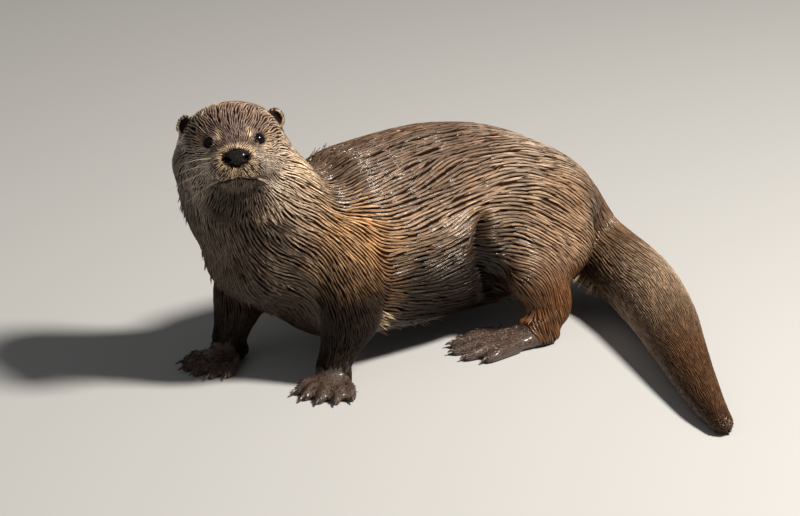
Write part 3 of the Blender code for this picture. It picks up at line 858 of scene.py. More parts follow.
def pelt(points):
    """Colour of the hair at the points, with painted shade on throat, forelegs and belly, in the fold before
    the thigh, low on the flanks, between the forelegs and at the eyes' corners, and painted sheen on the upper
    rump and partly on the tail's middle.
    """
    shares, _ = lie(points)
    local = in_head(points)
    f, l, u = local.T
    side = np.abs(l)
    x, y = points[:, 0], points[:, 1]
    z = points[:, 2] / MM
    ribs_low, ribs_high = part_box("ribs")
    level = (points[:, 2] - ribs_low.z) / (ribs_high.z - ribs_low.z)
    level = level + 0.05 * ripple(points, 45, 31)
    # darker towards the bottom of the ribs: the belly's own darker hair, with painted shade
    trunk = blend(SHADED_BELLY, FLANK, ramp(0.32, 0.72, level))
    trunk = blend(trunk, BACK, ramp(0.55, 0.9, level))
    # painted sheen on the upper rump, towards the tail
    rump_sheen_mask = ramp(0.03, 0.11, x) * ramp(0.21, 0.16, x)
    rump_sheen_mask = rump_sheen_mask * ramp(0.45, 0.70, level) * ramp(1.0, 0.88, level)
    trunk = blend(trunk, RUMP_SHEEN, 0.75 * rump_sheen_mask)
    along = CHEST - BACK_OF_HEAD
    t = np.clip((points - BACK_OF_HEAD) @ along / (along @ along), 0, 1.3)
    radial = unit(points - BACK_OF_HEAD - t[:, None] * along)
    facing = radial @ unit([-1.0, -0.25, -0.35]) + 0.12 * ripple(points, 30, 32)
    neck = blend(BACK, NECK_SIDE, ramp(-0.55, 0.05, facing) * (1 - 0.75 * ramp(0.25, 1.0, t)))
    neck = blend(neck, SHOULDER, ramp(-0.6, 0.0, facing) * ramp(0.45, 1.0, t) * 0.8)
    neck = blend(neck, SHADED_THROAT, ramp(0.46, 0.78, facing))
    cheek = ramp(11, -3, u - 0.45 * (side - 25)) * ramp(13, 23, side)
    head = blend(CROWN, CHEEK, cheek)
    head = blend(head, SHADED_THROAT, ramp(-16, -27, u) * ramp(56, 36, f) * ramp(32, 20, side))
    head = blend(head, MUZZLE, ramp(38, 50, f) * ramp(20, 14, side) * ramp(4, -4, u))
    head = blend(head, LIP, ramp(42, 50, f) * ramp(-17.5, -20.5, u))
    for s in (-1, 1):
        head = blend(head, PALE * 1.2, 0.95 * spot(local, (40, 13.5 * s, 17.5), (9, 2.4, 4.2)))
        head = blend(head, PALE, 0.70 * spot(local, (36, 27 * s, 4), (9, 6.5, 5.0)))
        head = blend(head, PALE, 0.65 * spot(local, (28, 31 * s, 12), (10, 4.5, 8)))
        # painted shade in the hollows at each eye's inner and outer corner
        inner_corner_shade = 0.60 * spot(local, (43, 14.5 * s, 7), (6, 3.6, 4.0))
        outer_corner_shade = 0.45 * spot(local, (33, 27 * s, 15), (7, 5, 4))
        head = deepened(head, np.clip(1 - inner_corner_shade - outer_corner_shade, 0.1, 1))
    arch = bell(far((local[:, 1:] - in_head(NOSE)[1:]) / [16.0, 10.0]) - 1, 0.20)
    head = blend(head, PALE, 0.9 * arch * ramp(-5, 2, u) * ramp(46, 54, f))
    # the tail pales towards its middle: partly its own hair, partly painted sheen
    tail = blend(TAIL, TAIL_MID_SHEEN, ramp(middle("tail_1")[1] - 0.015, middle("tail_2")[1], y))
    tail = blend(tail, TAIL_END, ramp(middle("tail_2")[1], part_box("tail_4")[1].y - 0.03, y))
    arm = blend(SHOULDER, SHADED_ARM, ramp(125, 72, z))
    front_arm = ramp(-0.2, 0.5, radial @ unit([-1.0, 0.0, 0.0]))
    arm = blend(arm, SHADED_THROAT * 0.8, front_arm * ramp(70, 110, z) * 0.7)
    leg = blend(THIGH, SHANK, ramp(85, 45, z))
    painted_parts = {"trunk": trunk, "neck": neck, "head": head, "tail": tail}
    colour = sum(paint * shares[k][:, None] for k, paint in painted_parts.items())
    for s in SIDES:
        colour += arm * (shares["fore_" + s] + shares["foot_fore_" + s])[:, None]
        colour += leg * (shares["hind_" + s] + shares["foot_hind_" + s])[:, None]
    # painted shade: the hair is darkened low on the flanks under the body, and on the chest between the
    # forelegs
    under_shade = ramp(128, 75, z) * ramp(-0.085, -0.045, x) * ramp(0.075, 0.030, x)
    shade_between_arms = ramp(112, 80, z) * ramp(-0.045, -0.085, x)
    colour = deepened(colour, 1 - 0.78 * under_shade - 0.28 * shade_between_arms * (1 - under_shade))
    patchy = 1 + 0.10 * ripple(points, 70, 33) + 0.12 * ripple(points, 14, 34)
    # painted shade: the hair darkens almost to black in and around the fold before the thigh
    fold_shade = bell(fold_reach(points), 13.5, 2.5) * fold_top(points)
    return np.clip(deepened(colour * patchy[:, None], 1 - 0.97 * fold_shade), 0.002, 0.9)


# ---------------------------------------------------------------- locks
ROWS = 7


def between(values, t):
    """Values (locks, ROWS, 3) at places t (locks, n) from 0 to 1."""
    x = np.clip(t, 0, 1) * (ROWS - 1)
    low = np.clip(np.floor(x).astype(int), 0, ROWS - 2)
    part = (x - low)[..., None]
    row = np.arange(len(values))[:, None]
    return values[row, low] * (1 - part) + values[row, low + 1] * part


class Locks:
    """Roots of locks on their lines: `centre` and `up` are (locks, ROWS, 3)."""

    def __init__(self, centre, up, gap, rise, reach, tone=None):
        self.centre = centre
        self.up = unit(up)
        self.gap = gap
        self.rise = rise
        self.reach = reach
        self.tone = tone

    def picked(self, mask):
        values = (self.centre, self.up, self.gap, self.rise, self.reach, self.tone)
        return Locks(*(None if v is None else v[mask] for v in values))

    def __len__(self):
        return len(self.gap)


def locks_on(lines, hide, rng):
    """Locks in a row along every line, each beginning halfway under the one before."""
    gap = hide.on_faces(hide.gap)
    reach = hide.on_faces(hide.reach)
    rise = hide.on_faces(hide.rise)
    steps = np.linspace(0, 1, ROWS)
    rows = []
    for spots, ups, faces in lines:
        s = np.concatenate([[0], np.cumsum(far(np.diff(spots, axis=0)))])
        length = reach[faces[len(faces) // 2]] * MM
        starts = np.arange(0, max(s[-1] - 0.45 * length, 1e-4), 0.44 * length)
        starts = np.maximum(starts + rng.uniform(-0.12, 0.12, len(starts)) * length, 0)
        long = length * rng.uniform(0.75, 1.25, len(starts))
        long = np.minimum(long, np.maximum(s[-1] - starts, 0.35 * length))
        q = np.clip(starts[:, None] + long[:, None] * steps, 0, s[-1])
        centre, up = (np.stack([np.interp(q, s, v[:, k]) for k in range(3)], 2) for v in (spots, ups))
        root = faces[np.clip(np.searchsorted(s, q[:, 1]), 0, len(faces) - 1)]
        rows.append((centre, up, gap[root], rise[root], long / MM))
    joined = [np.concatenate(values) for values in zip(*rows)]
    centre, reach = joined[0], joined[4]
    long_enough = far(centre[:, -1] - centre[:, 0]) > 0.25 * reach * MM
    return Locks(*(values[long_enough] for values in joined))


def strip(centre, up, t, across, height, half, crest, sections):
    """Points of tapered strips: (locks, strips, rows, sections, 3), with the tip as a row of its own point.

    centre, up: the locks' lines. t, across, height, half, crest: (locks, strips, rows), in mm but t.
    sections: (sideways share, height share) of each point of the cross-section.
    """
    m, k, r = t.shape
    flat_t = t.reshape(m, k * r)
    c = between(centre, flat_t)
    n = unit(between(up, flat_t))
    way = unit(between(centre, flat_t + 0.08) - between(centre, flat_t - 0.08) + 1e-9)
    b = unit(np.cross(n, way))
    c, n, b = (v.reshape(m, k, r, 3) for v in (c, n, b))
    side = np.array([q[0] for q in sections])
    tall = np.array([q[1] for q in sections])
    x = across[..., None] + half[..., None] * side
    y = height[..., None] + crest[..., None] * tall
    return c[:, :, :, None] + b[:, :, :, None] * x[..., None] * MM + n[:, :, :, None] * y[..., None] * MM


def strip_faces(rows, sections):
    """Triangles of one strip whose last row is a single point."""
    found = []
    for r in range(rows - 2):
        for q in range(sections - 1):
            a = r * sections + q
            b = a + sections
            found.append((a, a + 1, b + 1))
            found.append((a, b + 1, b))
    a = (rows - 2) * sections
    tip = (rows - 1) * sections
    for q in range(sections - 1):
        found.append((a + q, a + q + 1, tip))
    return np.array(found)


CORE = ((-1.0, -0.35), (-0.74, 0.62), (0.0, 1.0), (0.74, 0.62), (1.0, -0.35))
# painted shade across the ridge: dark at the sides next to the skin, full colour on the crest
CORE_SHADE = np.array([0.03, 0.16, 1.0, 0.16, 0.03])
HAIR = ((-1.0, 0.0), (0.0, 1.0), (1.0, 0.0))


def fleece(locks, rng, strands, core_rows, hair_rows, width=0.41, tip_lift=1.05, dark=1.0):
    """(points, triangles, colours, lock of each point, patch place of each point) of the locks."""
    m = len(locks)
    gap = locks.gap[:, None, None]
    rise = locks.rise[:, None, None] * rng.uniform(0.65, 1.15, (m, 1, 1))
    lean = rng.normal(0, 0.26, (m, 1, 1)) * gap
    fat = rng.uniform(0.78, 1.12, (m, 1, 1))

    def body(t):
        spread = np.clip(t / 0.12, 0, 1) ** 0.5 * np.clip((1 - t) / 0.45, 0, 1) ** 0.85
        lift = ramp(-0.04, 0.25, t) - 0.35 * (1 - ramp(0, 0.15, t))
        lift = lift * (1 + (tip_lift - 1) * ramp(0.6, 1, t))
        return gap * width * fat * spread, rise * lift, lean * t ** 2

    tint = np.minimum(locks_tint(locks, rng) * (1 + 0.15 * dark), 0.95)
    parts = []

    def add(grid, tri, colour, t, v):
        """Adds the strips: points, triangles, colours, lock of each point, and its place along and across."""
        k, r, q = grid.shape[1:4]
        start = sum(len(part[0]) for part in parts) + np.arange(m * k) * r * q
        place = np.stack([np.broadcast_to(w, (m, k, r, q)).reshape(-1) for w in (t[..., None], v)], 1)
        parts.append((grid.reshape(-1, 3), (tri[None] + start[:, None, None]).reshape(-1, 3),
                      colour.reshape(-1, 3), np.repeat(np.arange(m), k * r * q), place))

    t = np.broadcast_to(np.linspace(0, 1, core_rows), (m, 1, core_rows))
    half, tall, shift = body(t)
    half = np.maximum(half, 1e-4)
    crest = 0.9 * rise * np.ones_like(t)
    grid = strip(locks.centre, locks.up, t, shift, tall - crest, half, crest, CORE)
    grid[:, :, -1] = grid[:, :, -1, 2:3]
    # roots darker, partly the darker wet underfur and partly painted shade under the lock before; the ridge's
    # sides darker still as painted shade between locks
    along = (0.6 + 0.4 * ramp(0.05, 0.5, t))[..., None]
    colour = deepened(tint[:, None, None, None], along * (1 - dark * (1 - CORE_SHADE)) * (1 - 0.30 * dark))
    add(grid, strip_faces(core_rows, 5), colour, t, 0.5 + 0.5 * np.linspace(0, 1, 5))
    slot = (np.arange(strands) + rng.uniform(0.1, 0.9, (m, strands))) / strands * 2 - 1
    tilt = slot * math.radians(78)
    begin = rng.uniform(0.0, 0.22, (m, strands))
    end = rng.uniform(0.72, 1.0, (m, strands))
    end[:, strands // 2] = 1.0
    r = np.linspace(0, 1, hair_rows)
    t = begin[..., None] + (end - begin)[..., None] * r
    half, tall, shift = body(t)
    open_out = (0.25 + 0.75 * (1 - r))
    x = shift + half * np.sin(tilt)[..., None] + rng.normal(0, 0.10, (m, strands, 1)) * gap * r * open_out
    y = tall - 0.9 * rise * (1 - np.cos(tilt))[..., None] + 0.05
    y = y + rng.normal(0, 0.06, (m, strands, 1)) * rise
    thin = 0.085 * gap * rng.uniform(0.8, 1.25, (m, strands, 1)) * (1 - r ** 2 * 0.75)
    grid = strip(locks.centre, locks.up, t, x, y, thin, thin * 1.1, HAIR)
    grid[:, :, -1] = grid[:, :, -1, 1:2]
    shade = rng.normal(1.10, 0.22, (m, strands, 1)).clip(0.6, 1.7)
    # painted shade: strands on the ridge's sides are darker than those on its crest, and darker towards their
    # roots, partly from darker underfur
    side_shade = 1 - 0.92 * dark * ramp(math.radians(16), math.radians(64), np.abs(tilt))[..., None]
    along = 0.52 + 0.48 * ramp(0.05, 0.6, t)
    colour = deepened(tint[:, None, None], side_shade * along) * shade[..., None]
    # painted highlights: about one strand in seven is paler, standing for wet glints
    painted_glint = (rng.uniform(0, 1, (m, strands, 1)) < 0.14)[..., None] * 0.5
    glint_colour = np.minimum(colour * 1.6 + 0.06, 0.85) * [1.0, 0.95, 0.86]
    colour = (colour * (1 - painted_glint) + glint_colour * painted_glint)[..., None, :] * np.ones((3, 1))
    add(grid, strip_faces(hair_rows, 3), colour, t, 0.5 * np.linspace(0, 1, 3))
    return tuple(np.concatenate(values) for values in zip(*parts))


def joined_locks(groups):
    """The groups as one set of locks, with the pelt's colour where a group has none."""
    tones = [pelt(g.centre[:, ROWS // 2]) if g.tone is None else g.tone for g in groups]
    kinds = ("centre", "up", "gap", "rise", "reach")
    return Locks(*(np.concatenate([getattr(g, k) for g in groups]) for k in kinds), np.concatenate(tones))


def wisps(lines, hide, tree, rng, count):
    """Thin stray locks lying slantwise over the rows."""
    ways = hide.on_faces(hide.heading)
    gap = hide.on_faces(hide.gap)
    reach = hide.on_faces(hide.reach)
    rise = hide.on_faces(hide.rise)
    bare = (hide.on_faces(hide.bald) > 0.5) | (hide.on_faces(fold_reach(hide.points)) < 17)
    spots = np.concatenate([r[0][:-1] for r in lines])
    faces = np.concatenate([r[2][:-1] for r in lines])
    chosen = rng.choice(len(spots), count, replace=False)
    chosen = chosen[gap[faces[chosen]] > 2.2]
    centre = []
    up = []
    kept = []
    for i in chosen:
        face = faces[i]
        turn = rng.normal(0, 0.16)
        step = reach[face] * rng.uniform(0.55, 0.9) * MM / (ROWS - 1)
        at = Vector(spots[i])
        path = []
        ups = []
        for _ in range(ROWS):
            at, flat, face, _ = tree.find_nearest(at)
            if bare[face]:
                break
            path.append(at)
            ups.append(flat)
            way = Vector(ways[face])
            at = at + (way + flat.cross(way) * turn).normalized() * step
        if len(path) == ROWS:
            centre.append(path)
            up.append(ups)
            kept.append(faces[i])
    kept = np.array(kept)
    return Locks(np.array(centre), np.array(up), gap[kept] * rng.uniform(0.30, 0.5, len(kept)),
                 rise[kept] * 1.12, reach[kept])


def tufts(roots, ups, ways, length, gap, rise, lift, tone):
    """Straight little locks, each leaving its root along `ways` and rising by `lift` of its length."""
    t = np.linspace(0, 1, ROWS)[None, :, None]
    length = np.asarray(length)[:, None, None] * MM
    centre = roots[:, None] + ways[:, None] * length * t + ups[:, None] * length * lift * t ** 1.5
    up = np.repeat(ups[:, None], ROWS, 1)
    n = len(roots)
    return Locks(centre, up, np.full(n, float(gap)), np.full(n, float(rise)), length[:, 0, 0] / MM,
                 np.asarray(tone) * np.ones((n, 3)))


def locks_tint(locks, rng):
    """Each lock's colour, a little lighter or darker than the pelt's."""
    tone = pelt(locks.centre[:, ROWS // 2]) if locks.tone is None else locks.tone
    return tone * rng.normal(1.04, 0.20, (len(locks), 1)).clip(0.55, 1.6)


# ---------------------------------------------------------------- coat pieces and their map
MOST_TRIS = 185000


def unwrap(points, label_names):
    """Place of each point on an unwrap of the skin: the turn round the body's axis, and the way along it."""
    best = np.full(len(points), 1e9)
    u = np.zeros(len(points))
    v = np.zeros(len(points))
    gone = 0.0
    for a, b, girth in [row[1:4] for row in GUIDES if row[0] in label_names]:
        along = b - a
        length = np.linalg.norm(along)
        t = (points - a) @ along / length ** 2
        held = np.clip(t, -0.4, 1.4)
        away = points - a - np.clip(t, 0, 1)[:, None] * along
        reach = far(away) / girth
        nearer = reach < best
        one = unit(np.cross(along, [0.13, 0.2, 1.0]))
        two = unit(np.cross(along, one))
        turn = np.arctan2(away @ one, away @ two) / (2 * np.pi) + 0.5
        u = np.where(nearer, turn, u)
        v = np.where(nearer, gone + held * length, v)
        best = np.where(nearer, reach, best)
        gone += length
    return u, v


def paint_points(mesh, colours):
    """Writes the colours to the mesh's Pelt layer."""
    layer = mesh.color_attributes.new(name="Pelt", type="FLOAT_COLOR", domain="POINT")
    rgba = np.ones((len(colours), 4), np.float32)
    rgba[:, :3] = colours
    layer.data.foreach_set("color", rgba.ravel())


def coat_piece(name, made, locks, label_names, paint):
    """One object of the coat, with the roots' places on the skin's unwrap as its map."""
    points, faces, colours, owner, place = made
    obj = new_object(name, points, faces, [paint])
    paint_points(obj.data, colours)
    u, v = unwrap(locks.centre[:, 1], label_names)
    v = (v - v.min()) / max(v.max() - v.min(), 1e-6)
    spots = np.stack([0.005 + 0.99 * u, 0.005 + 0.99 * v], 1)[owner] + (place - 0.5) * 0.003
    layer = obj.data.uv_layers.new(name="OFBake")
    layer.data.foreach_set("uv", spots[faces.ravel()].astype(np.float32).ravel())
    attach(obj, "root")
    return obj


def coat_region(name, locks, label_names, rng, paint, **shape):
    """The region's locks in as many pieces as keep each one small."""
    _, v = unwrap(locks.centre[:, 1], label_names)
    order = np.argsort(v, kind="stable")
    trial = fleece(locks.picked(order[:1]), np.random.default_rng(0), **shape)
    per = len(trial[1])
    parts = max(1, math.ceil(len(locks) * per / MOST_TRIS))
    for k, chosen in enumerate(np.array_split(order, parts)):
        some = locks.picked(chosen)
        made = fleece(some, rng, **shape)
        coat_piece(name if parts == 1 else "%s_%d" % (name, k + 1), made, some, label_names, paint)


# ---------------------------------------------------------------- materials
def shader_of(paint):
    return paint.node_tree.nodes["Principled BSDF"]


def material(name, roughness, **sockets):
    """A plain material. Its sockets are given with _ for each space."""
    paint = bpy.data.materials.new(name)
    paint.use_nodes = True
    shader_of(paint).inputs["Roughness"].default_value = roughness
    for key, value in sockets.items():
        shader_of(paint).inputs[key.replace("_", " ")].default_value = value
    return paint


def painted(paint):
    """Gives the material the colours of the mesh's Pelt layer."""
    tree = paint.node_tree
    colour = tree.nodes.new("ShaderNodeVertexColor")
    colour.layer_name = "Pelt"
    tree.links.new(colour.outputs["Color"], shader_of(paint).inputs["Base Color"])
    return paint


def bumped(paint, scale, distance, detail=4.0):
    """Gives the material fine pits."""
    tree = paint.node_tree
    noise = tree.nodes.new("ShaderNodeTexNoise")
    noise.inputs["Scale"].default_value = scale
    noise.inputs["Detail"].default_value = detail
    where = tree.nodes.new("ShaderNodeTexCoord")
    tree.links.new(where.outputs["Object"], noise.inputs["Vector"])
    bump = tree.nodes.new("ShaderNodeBump")
    bump.inputs["Strength"].default_value = 1.0
    bump.inputs["Distance"].default_value = distance
    tree.links.new(noise.outputs["Fac"], bump.inputs["Height"])
    tree.links.new(bump.outputs["Normal"], shader_of(paint).inputs["Normal"])
    return paint


def wet_hair(name, roughness, shine, wet):
    return painted(material(name, roughness, Specular_IOR_Level=shine, Specular_Tint=(1.0, 0.84, 0.66, 1.0),
                            Coat_Weight=wet, Coat_Roughness=0.15))


BLACK = (0.004, 0.003, 0.0025, 1)
HAIR_PAINT = wet_hair("wet_fur", 0.46, 0.4, 0.30)
DARK_HAIR_PAINT = wet_hair("wet_fur_dark", 0.5, 0.22, 0.10)
SKIN_PAINT = painted(material("skin", 0.9, Specular_IOR_Level=0.1))
BARE_PAINT = bumped(painted(material("bare_skin", 0.36, Coat_Weight=0.32, Coat_Roughness=0.20)), 800, 0.0018)
EYE_PAINT = material("eye", 0.05, Base_Color=BLACK, Specular_IOR_Level=0.28)
EYE_EDGE_PAINT = material("eye_edge", 0.30, Base_Color=BLACK, Specular_IOR_Level=0.03)
CLAW_PAINT = material("claw", 0.35, Base_Color=(0.085, 0.055, 0.040, 1), Coat_Weight=0.3)
NOSE_PAINT = painted(material("nose", 0.34, Specular_IOR_Level=0.10, Coat_Weight=0.16, Coat_Roughness=0.10))
bumped(NOSE_PAINT, 1300, 0.0014, 1.0)


# ---------------------------------------------------------------- the coat
# ---- strands on a lock, places along its ridge and strands, lift of the tips, painted shade between locks ----
SHAPES = {
    "head": dict(strands=4, core_rows=5, hair_rows=4),
    "neck": dict(strands=5, core_rows=5, hair_rows=5, tip_lift=1.3),
    "trunk": dict(strands=7, core_rows=5, hair_rows=5, tip_lift=1.2),
    "rump": dict(strands=4, core_rows=5, hair_rows=4, dark=0.85),
    "tail": dict(strands=3, core_rows=5, hair_rows=4, dark=0.55),
    "fore": dict(strands=3, core_rows=5, hair_rows=4, dark=0.9),
    "hind": dict(strands=3, core_rows=5, hair_rows=4, dark=0.65),
}


def muzzle_marks(locks, rng):
    """Colours of the head's locks, with the dark marks among the pale hairs of the whisker pads."""
    tone = pelt(locks.centre[:, ROWS // 2])
    f, l, u = in_head(locks.centre[:, 1]).T
    pad = ramp(42, 48, f) * ramp(21, 17, np.abs(l)) * ramp(1, -4, u) * ramp(-24, -20, u)
    marked = rng.uniform(0, 1, len(f)) < 0.30
    return tone * (1 + pad * np.where(marked, -0.90, 0.50))[:, None]


locks = locks_on(lines, hide, np.random.default_rng(6))
root_shares, _ = lie(locks.centre[:, 1])
stern = locks.centre[:, 1, 0] > 0.13
grouped = {"head": root_shares["head"], "neck": root_shares["neck"], "trunk": root_shares["trunk"] * ~stern,
           "rump": root_shares["trunk"] * stern, "tail": root_shares["tail"]}
for s in SIDES:
    grouped["fore_" + s] = root_shares["fore_" + s] + root_shares["foot_fore_" + s]
    grouped["hind_" + s] = root_shares["hind_" + s] + root_shares["foot_hind_" + s]
REGIONS = sorted(grouped)
region = np.argmax(np.stack([grouped[k] for k in REGIONS]), 0)
stray = wisps(lines, hide, SKIN_TREE, np.random.default_rng(8), 2300)
coat_region("coat_wisps", stray, set(LABELS), np.random.default_rng(9), HAIR_PAINT, strands=2, core_rows=5,
            hair_rows=4, width=0.36)
for k, name in enumerate(REGIONS):
    some = locks.picked(region == k)
    if name == "head":
        some.tone = muzzle_marks(some, np.random.default_rng(10))
    names = ["trunk"] if name == "rump" else [name, "foot_" + name]
    shape = SHAPES[name.split("_")[0]]
    paint = DARK_HAIR_PAINT if name.startswith("fore") else HAIR_PAINT
    coat_region("coat_" + name, some, names, np.random.default_rng(100 + k), paint, **shape)


# ---------------------------------------------------------------- ears and fringes
CREAM = np.array([0.640, 0.500, 0.340])
EAR_SIZE = (9.0, 9.8)


def on_skin(points):
    """Nearest places on the skin, and the skin's way out there."""
    found = [SKIN_TREE.find_nearest(Vector(p)) for p in points]
    return np.array([f[0] for f in found]), np.array([f[1] for f in found])


def ear_tufts(rng):
    """Pale hair round each ear's rim and short dark hair on its back."""
    groups = []
    for s, sign in SIGN.items():
        centre = in_head(middle("ear_" + s)) - [0, 1.6 * sign, 0]
        n = 190
        turn = rng.uniform(-75, 250, n) * math.pi / 180
        out = np.stack([np.zeros(n), np.cos(turn) * sign, np.sin(turn)], 1)
        rim = centre + out * [0, EAR_SIZE[0], EAR_SIZE[1]] * rng.uniform(0.86, 1.0, (n, 1))
        rim[:, 0] += rng.uniform(-1.5, 2.5, n)
        roots, _ = on_skin(HEAD_ORIGIN + rim @ HEAD_AXES * MM)
        ups = unit((out * 0.25 + [1.0, 0, 0.1]) @ HEAD_AXES)
        upward = np.where(turn < math.pi / 2, 1, -1)[:, None]
        along = np.stack([np.zeros(n), -np.sin(turn) * sign, np.cos(turn)], 1) * upward
        ways = unit((along + out * 0.45 + [-0.15, 0, 0] + rng.normal(0, 0.16, (n, 3))) @ HEAD_AXES)
        tone = CREAM * rng.uniform(0.6, 1.05, (n, 1))
        roots = roots - ways * 0.9 * MM
        groups.append(tufts(roots, ups, ways, rng.uniform(2.2, 3.6, n), 0.9, 0.4, 0.0, tone))
        n = 260
        near = far(hide.points - middle("ear_" + s)) < 10.5 * MM
        behind = near & (hide.normal @ HEAD_AXES[0] < 0.05)
        picked = rng.choice(np.flatnonzero(behind), n)
        out = hide.points[picked] - (HEAD_ORIGIN + (centre + [-4, 0, -7]) @ HEAD_AXES * MM)
        up = hide.normal[picked]
        ways = unit(out - up * (out * up).sum(1)[:, None] + rng.normal(0, 0.0005, (n, 3)))
        tone = CROWN * 1.05 * rng.uniform(0.7, 1.3, (n, 1))
        groups.append(tufts(hide.points[picked], up, ways, rng.uniform(2.6, 4.4, n), 1.1, 0.5, 0.1, tone))
    return joined_locks(groups)


def eye_tufts(rng):
    """Short hair right up to the lids, lying away from the nose, and up to the nose pad's rim."""
    groups = []
    for s in SIDES:
        n = 150
        round_it = rng.uniform(0, 2 * np.pi, n)
        tilt = opening(round_it) + rng.uniform(0.14, 0.62, n)
        ray = np.stack([np.cos(tilt), np.sin(tilt) * np.cos(round_it), np.sin(tilt) * np.sin(round_it)], 1)
        ray = ray @ eye_axes(s)
        roots, ups = on_skin(EYES[s] + ray * (EYE_BALL + LID) * MM)
        away = unit(roots - EYES[s]) * 0.55 + unit(roots - NOSE_BRIDGE) * 0.8
        ways = laid(away + rng.normal(0, 0.10, (n, 3)), ups)
        tone = pelt(roots) * (0.35 + 0.75 * ramp(0.15, 0.5, tilt - opening(round_it)))[:, None]
        groups.append(tufts(roots, ups, ways, rng.uniform(1.8, 3.0, n), 0.95, 0.35, 0.06,
                            tone * rng.uniform(0.8, 1.2, (n, 1))))
    n = 210
    turn = rng.uniform(0, 2 * np.pi, n)
    size = rng.uniform(1.04, 1.26, n)
    left = np.cos(turn) * PAD[1] * size
    up = np.sin(turn) * PAD[2] * size * pad_stretch(left, np.sin(turn))
    rim = in_head(NOSE) + np.stack([np.full(n, 1.5), left, up], 1)
    roots, ups = on_skin(HEAD_ORIGIN + rim @ HEAD_AXES * MM)
    away = roots - (NOSE - HEAD_AXES[0] * 9 * MM) + rng.normal(0, 0.0012, (n, 3))
    ways = laid(away, ups)
    groups.append(tufts(roots, ups, ways, rng.uniform(2.0, 3.6, n), 0.85, 0.4, 0.05,
                        pelt(roots) * rng.uniform(0.3, 1.05, (n, 1))))
    return joined_locks(groups)


def fringe(starts, ends, way, length, lift, tone, count, rng, gap=1.7):
    """Pointed tufts between two places on the skin, standing out the given way."""
    t = rng.uniform(0, 1, (count, 1))
    where = np.asarray(starts) * (1 - t) + np.asarray(ends) * t + rng.normal(0, 0.002, (count, 3))
    roots, ups = on_skin(where)
    ways = unit(np.asarray(way) + rng.normal(0, 0.16, (count, 3)))
    length = rng.uniform(0.65, 1.15, count) * length
    tone = tone * rng.uniform(0.7, 1.15, (count, 1))
    return tufts(roots, ups, ways, length, gap, 0.9, lift, tone)


def scattered(where, count, rise, spread, rng, way=None, flatten=1.0):
    """Roots, outward ways and hair ways of tufts on part of the hide, along its lie or along a given way."""
    picked = rng.choice(np.flatnonzero(where), count)
    up = hide.normal[picked]
    if way is None:
        way = hide.heading[picked]
    else:
        rise = rise - (up @ way)[:, None] * flatten
    return hide.points[picked], up, unit(way + up * rise + rng.normal(0, spread, up.shape))


def fringes(rng):
    """Tufts standing out at elbows, tail root and belly; loose hair on throat, tail tip, feet and chin."""
    groups = []
    for s, sign in SIGN.items():
        elbow = middle("forearm_" + s)
        starts, ends = elbow + [0.024, -0.012 * sign, 0.020], elbow + [0.030, 0.004 * sign, 0.006]
        groups.append(fringe(starts, ends, (0.80, -0.25 * sign, -0.42), 13, 0.1, CREAM * 0.9, 17, rng, 0.9))
    tail = middle("tail_1")
    starts, ends = tail + [-0.033, -0.010, -0.022], tail + [-0.036, -0.044, -0.028]
    for way, tone in (((-0.45, 0.2, -0.8), CREAM * 0.9), ((0.25, -0.35, -0.8), CREAM * 0.7),
                      ((-0.1, 0.0, -1.0), TAIL * 1.5)):
        groups.append(fringe(starts, ends, way, 13, 0.10, tone, 16, rng))
    haired = ~hide.bald
    _, y, z = hide.points.T
    facing = hide.normal @ unit(np.array([-0.85, 0.0, -0.2])) > 0
    throat = (hide.shares["neck"] > 0.35) & facing & (z < 0.19) & haired
    n = 700
    roots, ups, ways = scattered(throat, n, 0.16, 0.10, rng)
    roots, tone = roots + ups * 0.8 * MM, pelt(roots) * 1.1
    groups.append(tufts(roots, ups, ways, rng.uniform(6, 12, n), 1.0, 0.6, 0.10, tone))
    tip = (y < y.min() + 15 * MM) & (z > 2 * MM)
    n = 190
    roots, ups, ways = scattered(tip, n, 0.06, 0.08, rng, unit(middle("tail_4") - middle("tail_3")), 0.95)
    groups.append(tufts(roots, ups, ways, rng.uniform(3.5, 6, n), 1.2, 0.5, 0.0,
                        TAIL_END * rng.uniform(0.6, 1.5, (n, 1))))
    foot_top = hide.moist & (hide.normal[:, 2] > -0.1) & (z > 4 * MM)
    for name, body, tone, n in (("fore_", "forepaw_", SHADED_ARM * 3.4, 240),
                                ("hind_", "hindfoot_", BARE_FOOT * 1.7, 380)):
        for s in SIDES:
            foot = middle(body + s)
            top = foot_top & (far(hide.points - foot) < 62 * MM)
            ahead = unit((claw_tip(name + s, 3) - foot) * [1, 1, 0])
            roots, ups, ways = scattered(top, n, 0.08, 0.10, rng, ahead)
            groups.append(tufts(roots, ups, ways, rng.uniform(2.5, 5, n), 0.9, 0.35, 0.03,
                                tone * rng.uniform(0.5, 1.4, (n, 1))))
    f, l, u = hide.local.T
    chin = (np.abs(l) < 22) & (u < -23) & (f > 22) & haired & (hide.shares["head"] > 0.5)
    n = 170
    roots, ups, ways = scattered(chin, n, 0.12, 0.14, rng)
    tone = SHADED_THROAT * rng.uniform(0.5, 2.6, (n, 1))
    groups.append(tufts(roots + ups * 0.5 * MM, ups, ways, rng.uniform(4, 8, n), 0.9, 0.5, 0.08, tone))
    low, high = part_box("ribs")
    for across in (low.y + 0.022, high.y - 0.022, (low.y + high.y) / 2):
        groups.append(fringe((low.x - 0.05, across, low.z), (high.x + 0.03, across, low.z), (0.85, 0, -0.30),
                             13, 0.12, SHADED_BELLY * 1.6, 36, rng, 1.4))
    return joined_locks(groups)


for name, made, names in (("coat_ears", ear_tufts(np.random.default_rng(41)), {"head"}),
                          ("coat_lids", eye_tufts(np.random.default_rng(45)), {"head"}),
                          ("coat_fringe", fringes(np.random.default_rng(42)), set(LABELS))):
    coat_region(name, made, names, np.random.default_rng(43), HAIR_PAINT, strands=3, core_rows=4, hair_rows=3,
                dark=0.35)


